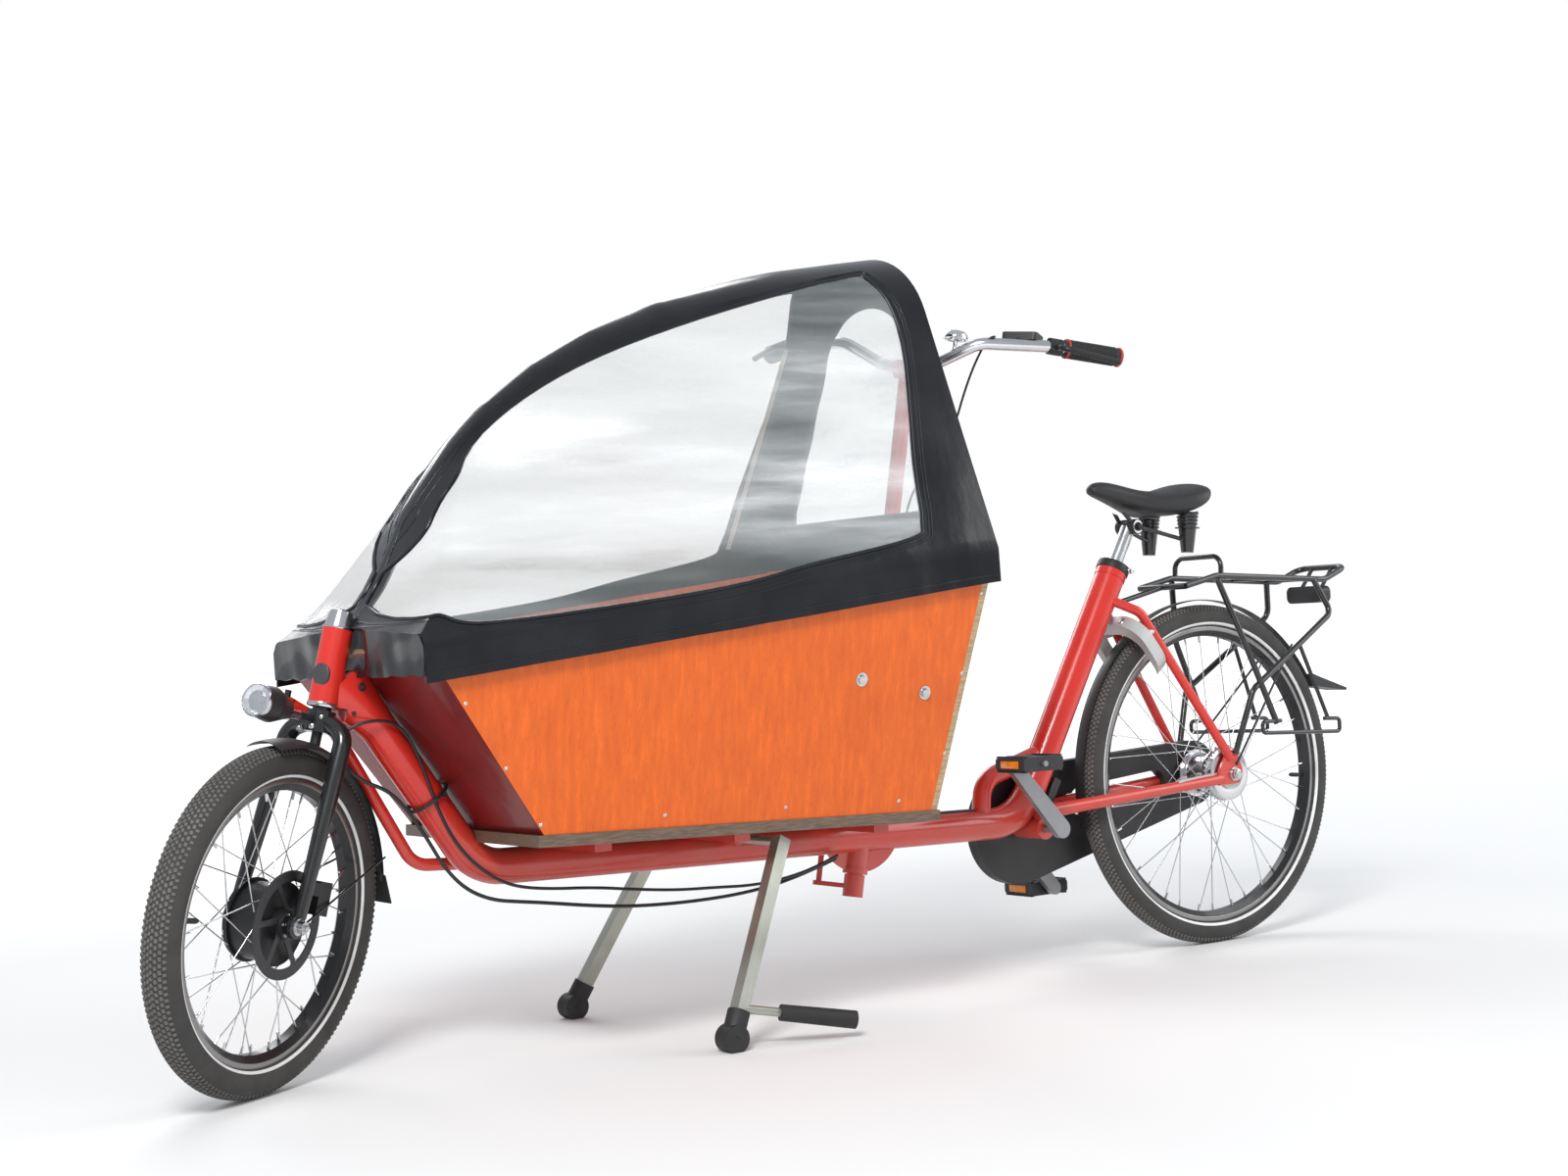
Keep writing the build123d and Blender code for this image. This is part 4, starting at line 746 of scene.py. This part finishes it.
def arc_through(a, b, c, t):
    """Point on the arc through three points, at t from 0 to 1, and its angle."""
    d = 2 * (a[0] * (b[1] - c[1]) + b[0] * (c[1] - a[1]) + c[0] * (a[1] - b[1]))
    squares = [p[0] ** 2 + p[1] ** 2 for p in (a, b, c)]
    ux = (squares[0] * (b[1] - c[1]) + squares[1] * (c[1] - a[1]) + squares[2] * (a[1] - b[1])) / d
    uy = (squares[0] * (c[0] - b[0]) + squares[1] * (a[0] - c[0]) + squares[2] * (b[0] - a[0])) / d
    start, end = atan2(a[1] - uy, a[0] - ux), atan2(c[1] - uy, c[0] - ux)
    angle = start + (end - start) * t
    radius = sqrt((a[0] - ux) ** 2 + (a[1] - uy) ** 2)
    return ux + radius * cos(angle), uy + radius * sin(angle), angle


def wheel_trim(name, body, place, tyre_r, tyre_w, rim_r, rim_w, pitch, rows, stripe):
    """Tread, reflecting line, rim edge, nipples and valve of one wheel, whose axle is the placement's Y."""
    wheel = place @ Matrix.Rotation(-pi / 2, 4, "X")
    height = tyre_r - rim_r
    shoulder = (0.40 * tyre_w, rim_r + 0.80 * height)
    wall = ((rim_w / 2, rim_r), (tyre_w / 2, rim_r + 0.42 * height), shoulder)
    count = int(2 * pi * tyre_r / pitch)
    bm = bmesh.new()
    for across_at, long, wide, slant, shift in rows:
        side = 1 if across_at >= 0 else -1
        y, r, angle = arc_through((-shoulder[0], shoulder[1]), (0, tyre_r), shoulder, 0.5 + across_at / 2)
        made = bmesh.ops.create_cube(bm, size=0.001, matrix=Matrix.Diagonal((long, wide, 3.0, 1)))
        top = [v for v in made["verts"] if v.co.z > 0]
        bmesh.ops.scale(bm, vec=(0.82, 0.82, 1), verts=top)
        leaned = Matrix.Rotation(angle - pi / 2, 4, "X") @ Matrix.Rotation(slant * side, 4, "Z")
        seated = Matrix.Translation((0, y / 1000, (r - 0.2) / 1000)) @ leaned
        bmesh.ops.transform(bm, matrix=Matrix.Rotation(shift * 2 * pi / count, 4, "Y") @ seated,
                            verts=made["verts"])
    bmesh.ops.spin(
        bm, geom=bm.verts[:] + bm.edges[:] + bm.faces[:], cent=(0, 0, 0), axis=(0, 1, 0),
        angle=2 * pi * (count - 1) / count,
        steps=count - 1, use_duplicate=True)
    make_piece(name + "_tread", bm, tread_rubber, body, place, sharp=25)
    for kind, radii, material in (("line", stripe, stripe_white),
                                  ("bead_ring", (rim_r + 1.5, rim_r + 3.2), tyre_rubber)):
        bm = bmesh.new()
        for side in (1, -1):
            profile = []
            for k in range(5):
                goal = radii[0] + (radii[1] - radii[0]) * k / 4
                t = min((i / 200 for i in range(201)), key=lambda i: abs(arc_through(*wall, i)[1] - goal))
                y, r, angle = arc_through(*wall, t)
                lift = 0.7 if 0 < k < 4 else -0.3
                profile.append(((r + lift * sin(angle)) / 1000, side * (y + lift * cos(angle)) / 1000))
            turned(bm, profile, Matrix(), 120)
        make_piece(name + "_" + kind, bm, material, body, wheel, sharp=50)
    bm = bmesh.new()
    for side in (1, -1):
        edge = side * (rim_w / 2 + 0.25)
        turned(bm, [((rim_r - 7.5) / 1000, edge / 1000), ((rim_r - 7) / 1000, (edge + side * 0.3) / 1000),
                    ((rim_r - 0.4) / 1000, (edge + side * 0.3) / 1000),
                    ((rim_r + 0.6) / 1000, edge / 1000)], Matrix(), 120)
    make_piece(name + "_rim_edge", bm, rim_edge, body, wheel, sharp=50)
    bm = bmesh.new()
    for i in range(spoke_count):
        turn = Matrix.Rotation(-2 * pi * i / spoke_count, 4, "Y")
        side = 1 if i % 2 else -1
        turned(bm, [(0, -13.5e-3), (1.6e-3, -13.4e-3), (2.1e-3, -4e-3), (2.1e-3, 0)],
               turn @ axis_place(Vector(((rim_r - 17.5) / 1000, side * 0.0035, 0)), (1, -side * 0.05, 0)), 8)
    make_piece(name + "_nipples", bm, spoke_steel, body, place)
    bm = bmesh.new()
    turned(bm, [(0, -0.034), (0.0032, -0.034), (0.0042, -0.030), (0.0042, -0.012), (0.0035, -0.010),
                (0.0035, 0.002)],
           Matrix.Rotation(0.087, 4, "Y") @ axis_place(Vector(((rim_r - 17) / 1000, 0, 0)), (1, 0, 0)), 16)
    make_piece(name + "_valve", bm, rubber_black, body, place)


spoke_count = 36
rear_place = Matrix.Translation(bike(0, 0, rear_wheel_r))
front_place = fork_place @ Matrix.Translation((fork_offset / 1000, 0, 0))
small_blocks = [(0.10, 6.2, 4.6, 0.5, 0), (-0.10, 6.2, 4.6, 0.5, 0.5), (0.36, 6.4, 5.0, 0.35, 0.4),
                (-0.36, 6.4, 5.0, 0.35, 0.9), (0.62, 6.6, 5.2, 0.2, 0), (-0.62, 6.6, 5.2, 0.2, 0.5),
                (0.88, 4.6, 6.0, 0.1, 0.4), (-0.88, 4.6, 6.0, 0.1, 0.9)]
wheel_trim("rear_wheel", "rear_wheel", rear_place, rear_wheel_r, 47, 286, 28, 9.5, small_blocks,
           (289.6, 295.4))
wheel_trim("front_wheel", "front_wheel", front_place, front_wheel_r, 54, 211, 32, 9.5, small_blocks,
           (212.6, 217.8))

# The rear hub is a polished gear hub with a pale roller brake and a toothed cooling disc on its left. The
# front hub is a black direct-drive motor with a ring of cover screws and a dark steel rotor on its left.
black_cast = plain_finish("black_casting", (0.020, 0.020, 0.022), 0.42, metallic=0.3, grain=250, relief=0.3)
dark_steel = plain_finish("dark_steel", (0.07, 0.07, 0.075), 0.4, metallic=0.8)
dress(black_cast, "front_motor", "front_caliper")
silver_cast = plain_finish("silver_casting", (0.55, 0.55, 0.54), 0.38, metallic=0.35, grain=300, relief=0.2)
dress(dark_steel, "brake_disc")
dress(silver_cast, "rear_brake", "ring_lock")
dress(steel_bright, "rear_axle", "front_axle")
bm = bmesh.new()
left_side = rear_place @ Matrix.Rotation(pi / 2, 4, "X")
turned(bm, [(0.012, 0.061), (0.034, 0.0608), (0.046, 0.0605), (0.0502, 0.0585), (0.0504, 0.047)], left_side,
       48)
turned(bm, [(0.048, 0.0445), (0.052, 0.0455), (0.0525, 0.0440), (0.048, 0.0430)], left_side, 48)
cooling_teeth = 36
for i in range(cooling_teeth):
    tooth = Matrix.Rotation(2 * pi * i / cooling_teeth, 4, "Z") @ Matrix.Translation((0.0535, 0, 0.0443))
    block(bm, left_side @ tooth, 0.005, 0.0045, 0.0014)
make_piece("brake_cooling_disc", bm, polished, "frame")
bm = bmesh.new()
for side in (1, -1):
    turned(bm, [(0.0385, side * 0.0275), (0.0395, side * 0.020), (0.034, side * 0.014), (0.033, 0)],
           rear_place @ Matrix.Rotation(-pi / 2, 4, "X"), 48)
make_piece("rear_hub_shell", bm, polished, "rear_wheel")
bm = bmesh.new()
for i in range(8):
    turn = Matrix.Rotation(2 * pi * i / 8, 4, "Y")
    bolt(bm, front_place @ turn @ axis_place(Vector((0.050, -0.034, 0)), (0, -1, 0)), 0.0025, 0.0022, 12, 1.1)
for i in range(6):
    turn = Matrix.Rotation(2 * pi * i / 6, 4, "Y")
    bolt(bm, front_place @ turn @ axis_place(Vector((0.017, 0.044, 0)), (0, 1, 0)), 0.0025, 0.002, 12, 1.1)
make_piece("front_hub_screws", bm, steel_bright, "front_wheel")
bm = bmesh.new()
for side in (1, -1):
    bolt(bm, front_place @ axis_place(Vector((0, side * 0.057, 0)), (0, side, 0)), 0.0085, 0.010, 6, 1.5)
    turned(bm, [(0.0046, 0.008), (0.0046, 0.0175), (0.0036, 0.0185), (0, 0.0185)],
           front_place @ axis_place(Vector((0, side * 0.057, 0)), (0, side, 0)), 16)
make_piece("front_axle_nuts", bm, steel_bright, "front_fork")
bm = bmesh.new()
for side in (1, -1):
    bolt(bm, rear_place @ axis_place(Vector((0, side * 0.0722, 0)), (0, side, 0)), 0.0095, 0.011, 6, 1.4)
make_piece("rear_axle_nuts", bm, steel_bright, "frame")

# The fork is welded from steel tube with curved shoulders and painted black. A steel arm on its crown
# carries the steering rod; the carrier and the saddle springs have the same paint.
black_paint = plain_finish("black_gloss_paint", (0.012, 0.012, 0.013), 0.22, coat=0.4, grain=260, relief=0.1)
dress(black_paint, "fork", "rear_carrier", "saddle_springs")

# A straight steel wire on each side holds the front mudguard's back end. It is painted black and held at
# the axle.
bm = bmesh.new()
for side in (1, -1):
    top_end, low_end = Vector((-0.196, side * 0.0325, 0.126)), Vector((0.026, side * 0.0655, 0.008))
    run = low_end - top_end
    bmesh.ops.create_cone(bm, cap_ends=True, segments=12, radius1=0.0018, radius2=0.0018, depth=run.length,
                          matrix=fork_place @ axis_place((top_end + low_end) / 2, run))
make_piece("front_mudguard_stays", bm, black_paint, "front_fork")

# The headlamp has a black moulded body with a bright bezel. Its clear moulded lens lies over a faceted
# reflector with a bright plating.
black_plastic = plain_finish("black_moulded_plastic", (0.020, 0.020, 0.021), 0.45, grain=500, relief=0.2)
dress(black_plastic, "headlamp", "front_mudguard", "rear_mudguard", "chain_case", "control_box", "display")
lamp_place = fork_place @ axis_place(Vector((0.160, 0, 0.306)), (1, 0, 0))
bm = bmesh.new()
turned(bm, [(0.0, -0.004), (0.006, -0.0035), (0.016, 0.0002), (0.0205, 0.004), (0.0226, 0.0045),
            (0.0226, 0.001)], lamp_place, 16)
make_piece("lamp_reflector", bm, polished, "front_fork", sharp=5)
bm = bmesh.new()
turned(bm, [(0.0230, 0.000), (0.0234, 0.003), (0.0220, 0.0055), (0.0175, 0.0085), (0.010, 0.0108),
            (0, 0.0114)], lamp_place, 40)
lens_clear, tree, shader = colour_nodes("clear_lens", 0.05)
shader.inputs["Alpha"].default_value = 0.3
shader.inputs["Specular IOR Level"].default_value = 0.8
tree.links.new(ramp_node(tree, noise_node(tree, 90, 2), [(0.3, 0.80, 0.86, 0.92), (0.8, 0.95, 0.97, 1.0)]),
               shader.inputs["Base Color"])
bump_node(tree, shader, noise_node(tree, 160, 1), 0.3, 0.001)
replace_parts(make_piece("lamp_lens", bm, lens_clear, "front_fork"), "headlamp_lens")
bm = bmesh.new()
turned(bm, [(0.0252, -0.003), (0.0250, 0.003), (0.0238, 0.0048), (0.0228, 0.003)], lamp_place, 40)
make_piece("lamp_bezel", bm, polished, "front_fork")

# A turned steel stem with a collar carries the lamp, and three plated bolts sit round its foot on the crown
# of the fork.
bm = bmesh.new()
foot_end, lamp_end = Vector((0.014, 0, 0.3060)), Vector((0.112, 0, 0.300))
along = lamp_end - foot_end
turned(bm, [(0.0058, 0), (0.0072, 0.001), (0.0072, 0.026), (0.0090, 0.027), (0.0090, 0.031), (0.0072, 0.032),
            (0.0072, 0.049), (0.0058, 0.050)],
       fork_place @ axis_place(foot_end + along * 0.42, along), 24)
for x, y, z, radius in ((-1876, -14.5, 534.6, 4.6), (-1863, -21.8, 547.6, 3.4), (-1891.4, -3.4, 532.6, 3.6)):
    bolt(bm, axis_place(bike(x, y, z) + Vector((0.003, 0.0045, 0)), (-0.60, -0.78, 0.15)), radius / 1000,
         0.006, 6, 1.35)
make_piece("lamp_bracket_and_bolts", bm, steel_bright, "front_fork")

# The ring lock is a silver die casting on the seat stays, with its steel key plug on the outside. The brake
# levers and their clamps are black castings.
dress(black_cast, "brake_levers")
lock_out = Vector((cos(radians(128)), 0, sin(radians(128))))
bm = bmesh.new()
turned(bm, [(0, 0.004), (0.008, 0.0035), (0.0095, 0.0015), (0.0095, -0.002)],
       axis_place(bike(0, 0, rear_wheel_r) + lock_out * 0.384 + Vector((0, -0.028, 0)), lock_out), 24)
make_piece("lock_key_plug", bm, steel_bright, "frame")

# The rear lamp is a black moulded housing, bolted under the carrier's end. A red moulded lens with small
# facets closes its back.
def reflector_finish(name, rough, blotch, facets, strength, bright, deep):
    """Coloured plastic with a gloss coat and small moulded facets."""
    material, tree, shader = colour_nodes(name, rough, coat=0.5)
    stops = [(0.3, *bright), (0.8, *deep)]
    tree.links.new(ramp_node(tree, noise_node(tree, blotch, 2), stops), shader.inputs["Base Color"])
    bump_node(tree, shader, noise_node(tree, facets, 0), strength, 0.001)
    return material


red_lens = reflector_finish("red_lamp_lens", 0.12, 40, 300, 0.4, (0.50, 0.010, 0.010), (0.35, 0.006, 0.008))
dress(black_plastic, "rear_light")
bm = bmesh.new()
round_edges(bm, block(bm, Matrix.Translation(bike(333, 0, 668)), 0.007, 0.078, 0.025), 0.003, 3)
make_piece("rear_lamp_lens", bm, red_lens, "frame")

# Cranks are grey forged aluminium. Each pedal is a black moulded frame with ribbed rubber treads and amber
# reflectors front and rear, riveted in.
grey_alloy = plain_finish("grey_forged_alloy", (0.34, 0.34, 0.35), 0.35, metallic=0.7, grain=350, relief=0.15)
dress(grey_alloy, "crankset")
dress(black_plastic, "pedal_left", "pedal_right")
amber = reflector_finish("amber_reflector", 0.15, 70, 500, 0.5, (0.85, 0.28, 0.01), (0.60, 0.16, 0.01))
for side, name in ((-1, "left"), (1, "right")):
    low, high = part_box("pedal_" + name)
    middle = (low + high) / 2
    bm = bmesh.new()
    for end in (1, -1):
        corners = block(bm, Matrix.Translation(middle + Vector((end * 0.0462, 0, 0))), 0.004, 0.046, 0.013)
        round_edges(bm, corners, 0.0012, 2)
    make_piece("pedal_reflectors_" + name, bm, amber, "pedal_" + name)
    bm = bmesh.new()
    for end in (1, -1):
        for k in range(9):
            y = -0.034 + 0.0085 * k
            for up in (1, -1):
                rib_at = middle + Vector((end * 0.041, y, up * 0.0132))
                block(bm, Matrix.Translation(rib_at), 0.008, 0.0045, 0.002)
    make_piece("pedal_ribs_" + name, bm, rubber_black, "pedal_" + name)

# The saddle is a foam-filled black cover over a moulded base. It sits on two coil springs under its back and
# on a cast clamp that is bolted across the top of the seat post.
bm = bmesh.new()
saddle_rows = [(-277, 882, 3, 5), (-274, 882, 12, 20), (-260, 882, 19, 34), (-225, 875, 27, 46),
               (-175, 860, 41, 50), (-135, 852, 61, 54), (-95, 853, 82, 60), (-58, 862, 91, 60),
               (-32, 873, 84, 46), (-20, 875, 66, 32), (-15, 875, 34, 12)]
rings = []
for x, z, half, tall in saddle_rows:
    upright = Matrix.Rotation(pi / 2, 4, "Y") @ Matrix.Diagonal((tall / 2000, half / 1000, 1, 1))
    made = bmesh.ops.create_circle(
        bm, segments=24, radius=1, matrix=Matrix.Translation(bike(x, 0, z)) @ upright)
    rings.append(list({e for v in made["verts"] for e in v.link_edges}))
for first, second in zip(rings, rings[1:]):
    bmesh.ops.bridge_loops(bm, edges=first + second)
bmesh.ops.holes_fill(bm, edges=rings[0] + rings[-1], sides=0)
for vert in bm.verts:
    across_mm, up = (vert.co.y - axle_y) * 1000, vert.co.z * 1000
    x = (vert.co.x - axle_x) * 1000
    middle_z = next(row[1] for row in saddle_rows if abs(row[0] - x) < 0.5)
    if up < middle_z:
        vert.co.z = (middle_z + (up - middle_z) * 0.75 - abs(across_mm) * 0.10) / 1000
bm_clamp = bmesh.new()
post_top, seat_top, seat_axis = bike(-175.5, 0, 811.5), bike(-222, 0, 737), Vector((0.506, 0, 0.8625))
turned(bm_clamp, [(0.0290, -0.013), (0.0314, -0.012), (0.0314, -0.001), (0.0306, 0.003), (0.0136, 0.003)],
       axis_place(seat_top, seat_axis), 40)
turned(bm_clamp, [(0.0136, -0.0255), (0.0148, -0.0245), (0.0148, -0.009), (0.0138, -0.008), (0.0138, 0.008),
                  (0.0148, 0.009), (0.0148, 0.0245), (0.0136, 0.0255)],
       axis_place(post_top, (0, 1, 0)), 32)
for side in (1, -1):
    bolt(bm_clamp, axis_place(post_top + Vector((0, side * 0.0245, 0)), (0, side, 0)), 0.0065, 0.006, 6, 1.3)
make_piece("saddle_clamp", bm_clamp, black_cast, "frame")
bm_coil = bmesh.new()
for side in (1, -1):
    spring_foot, spring_run = bike(-76, side * 52, 758), Vector((0.006, 0, 0.082))
    for k in range(4):
        height = 0.055 + 0.0068 * k
        radius = 0.0120 + 0.0090 * height / 0.0822
        turned(bm_coil, [(radius - 0.001, height - 0.0022), (radius + 0.0016, height - 0.0012),
                         (radius + 0.0016, height + 0.0012), (radius - 0.001, height + 0.0022)],
               axis_place(spring_foot, spring_run), 28)
    turned(bm_coil, [(0.0160, 0.045), (0.0235, 0.0462), (0.0240, 0.0485), (0.0160, 0.0500)],
           axis_place(spring_foot, spring_run), 32)
make_piece("spring_turns", bm_coil, black_paint, "frame")
leather = plain_finish("saddle_cover", (0.022, 0.022, 0.023), 0.5, grain=420, relief=0.35, dull=1.3)
saddle = make_piece("saddle_cover", bm, leather, "frame", sharp=180)
rounding = saddle.modifiers.new("rounding", "SUBSURF")
rounding.levels = rounding.render_levels = 2
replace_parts(saddle, "saddle")

# The grips are black moulded rubber with ribs round them, pushed onto the bar. A red ring marks each end of
# a grip.
dress(rubber_black, "grips", "stand_rubbers")
column_tilt = radians(79)
column_place = steered_place(bike(-873, 0, 215), column_tilt)
red_ring = plain_finish("red_grip_ring", (0.50, 0.03, 0.02), 0.5)
bm = bmesh.new()
bm_ring = bmesh.new()
for side in (1, -1):
    inner_end, outer_end = Vector((-0.064, side * 0.247, 0.962)), Vector((-0.154, side * 0.339, 0.967))
    run = (outer_end - inner_end).normalized()
    for k in range(22):
        turned(bm, [(0.0155, -0.0016), (0.0172, -0.0008), (0.0172, 0.0008), (0.0155, 0.0016)],
               column_place @ axis_place(outer_end - run * (0.010 + 0.0042 * k), run), 24)
    turned(bm_ring, [(0.0155, -0.0025), (0.0178, -0.0018), (0.0178, 0.0018), (0.0155, 0.0025)],
           column_place @ axis_place(outer_end - run * 0.1035, run), 32)
    turned(bm_ring, [(0.0155, -0.002), (0.0176, -0.0015), (0.0176, 0.0015), (0.0155, 0.002)],
           column_place @ axis_place(outer_end + run * 0.0005, run), 32)
make_piece("grip_ribs", bm, rubber_black, "handlebar_unit")
make_piece("grip_rings", bm_ring, red_ring, "handlebar_unit")

# The bell is a dome pressed from steel and chrome plated. It stands on a short post that is clamped to the
# bar.
chrome = plain_finish("chrome_plate", (0.80, 0.81, 0.83), 0.07, metallic=1.0, grain=200, relief=0.02,
                      dull=0.92)
bm = bmesh.new()
turned(bm, [(0, 0.0165), (0.008, 0.0160), (0.016, 0.0135), (0.0210, 0.0085), (0.0225, 0.002), (0.0222, 0.0),
            (0.0190, 0.0002)],
       column_place @ Matrix.Translation((-0.003, 0.084, 0.958)), 40)
turned(bm, [(0.004, 0.0004), (0.004, -0.028)], column_place @ Matrix.Translation((-0.003, 0.084, 0.958)), 16)
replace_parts(make_piece("bell_dome", bm, chrome, "handlebar_unit"), "bell")

# The stand is welded from steel tube on a cross shaft and zinc plated, so its finish is dull and blotchy.
# Its rubber feet are dressed with the grips.
zinc = plain_finish("zinc_plate", (0.52, 0.53, 0.46), 0.36, metallic=0.85, grain=180, relief=0.25, dull=0.6)
dress(zinc, "stand")

# A plain pale floor that whitens with distance, three soft lamps, and the camera where the photo was taken
# from.
bpy.ops.mesh.primitive_plane_add(size=160, location=(0, 0, -0.0005))
floor = bpy.context.object
floor.name = "studio_floor"
floor_finish, tree, shader = colour_nodes("studio_floor", 0.8)
shader.inputs["Base Color"].default_value = (0.84, 0.84, 0.83, 1)
shader.inputs["Emission Color"].default_value = (1, 1, 1, 1)
spot = tree.nodes.new("ShaderNodeTexCoord")
reach = tree.nodes.new("ShaderNodeVectorMath")
reach.operation = "LENGTH"
fade = tree.nodes.new("ShaderNodeMapRange")
fade.inputs["From Min"].default_value = 2.0
fade.inputs["From Max"].default_value = 9.0
fade.inputs["To Max"].default_value = 0.8
tree.links.new(spot.outputs["Object"], reach.inputs[0])
tree.links.new(reach.outputs["Value"], fade.inputs["Value"])
tree.links.new(fade.outputs["Result"], shader.inputs["Emission Strength"])
floor.data.materials.append(floor_finish)
world = bpy.data.worlds.new("studio")
bpy.context.scene.world = world
world.use_nodes = True
tree = world.node_tree
sky = tree.nodes["Background"]
sky.inputs["Color"].default_value = (0.80, 0.84, 0.90, 1)
sky.inputs["Strength"].default_value = 0.6
white = tree.nodes.new("ShaderNodeBackground")
white.inputs["Color"].default_value = (1, 1, 1, 1)
seen = tree.nodes.new("ShaderNodeLightPath")
chosen = tree.nodes.new("ShaderNodeMixShader")
tree.links.new(seen.outputs["Is Camera Ray"], chosen.inputs[0])
tree.links.new(sky.outputs["Background"], chosen.inputs[1])
tree.links.new(white.outputs["Background"], chosen.inputs[2])
tree.links.new(chosen.outputs["Shader"], tree.nodes["World Output"].inputs["Surface"])
for name, place, aim, size, power in (
        ("key", (-3.6, -3.4, 4.2), (0, 0, 0.5), 1.6, 260), ("fill", (3.8, -2.6, 2.6), (0, 0, 0.5), 3.0, 80),
        ("back", (1.0, 4.5, 3.6), (0, 0, 0.6), 3.0, 110)):
    lamp = bpy.data.lights.new(name, "AREA")
    lamp.size, lamp.energy = size, power
    light = bpy.data.objects.new(name, lamp)
    light.location = place
    light.rotation_euler = (Vector(aim) - Vector(place)).to_track_quat("-Z", "Y").to_euler()
    bpy.context.scene.collection.objects.link(light)
yaw, pitch, roll = radians(35.50), radians(1.16), radians(-2.73)
ahead = Vector((sin(yaw) * cos(pitch), cos(yaw) * cos(pitch), sin(pitch)))
right = Vector((cos(yaw), -sin(yaw), 0))
above = right.cross(ahead)
camera = bpy.data.objects.new("camera", bpy.data.cameras.new("camera"))
camera.data.sensor_width, camera.data.lens = 36, 53.17
camera_right = right * cos(roll) + above * sin(roll)
camera_up = above * cos(roll) - right * sin(roll)
camera_axes = Matrix((camera_right, camera_up, -ahead)).transposed().to_4x4()
camera.matrix_world = Matrix.Translation(bike(-3294, -3224, 637)) @ camera_axes
bpy.context.scene.collection.objects.link(camera)
bpy.context.scene.camera = camera
bpy.context.scene.view_settings.view_transform = "Standard"
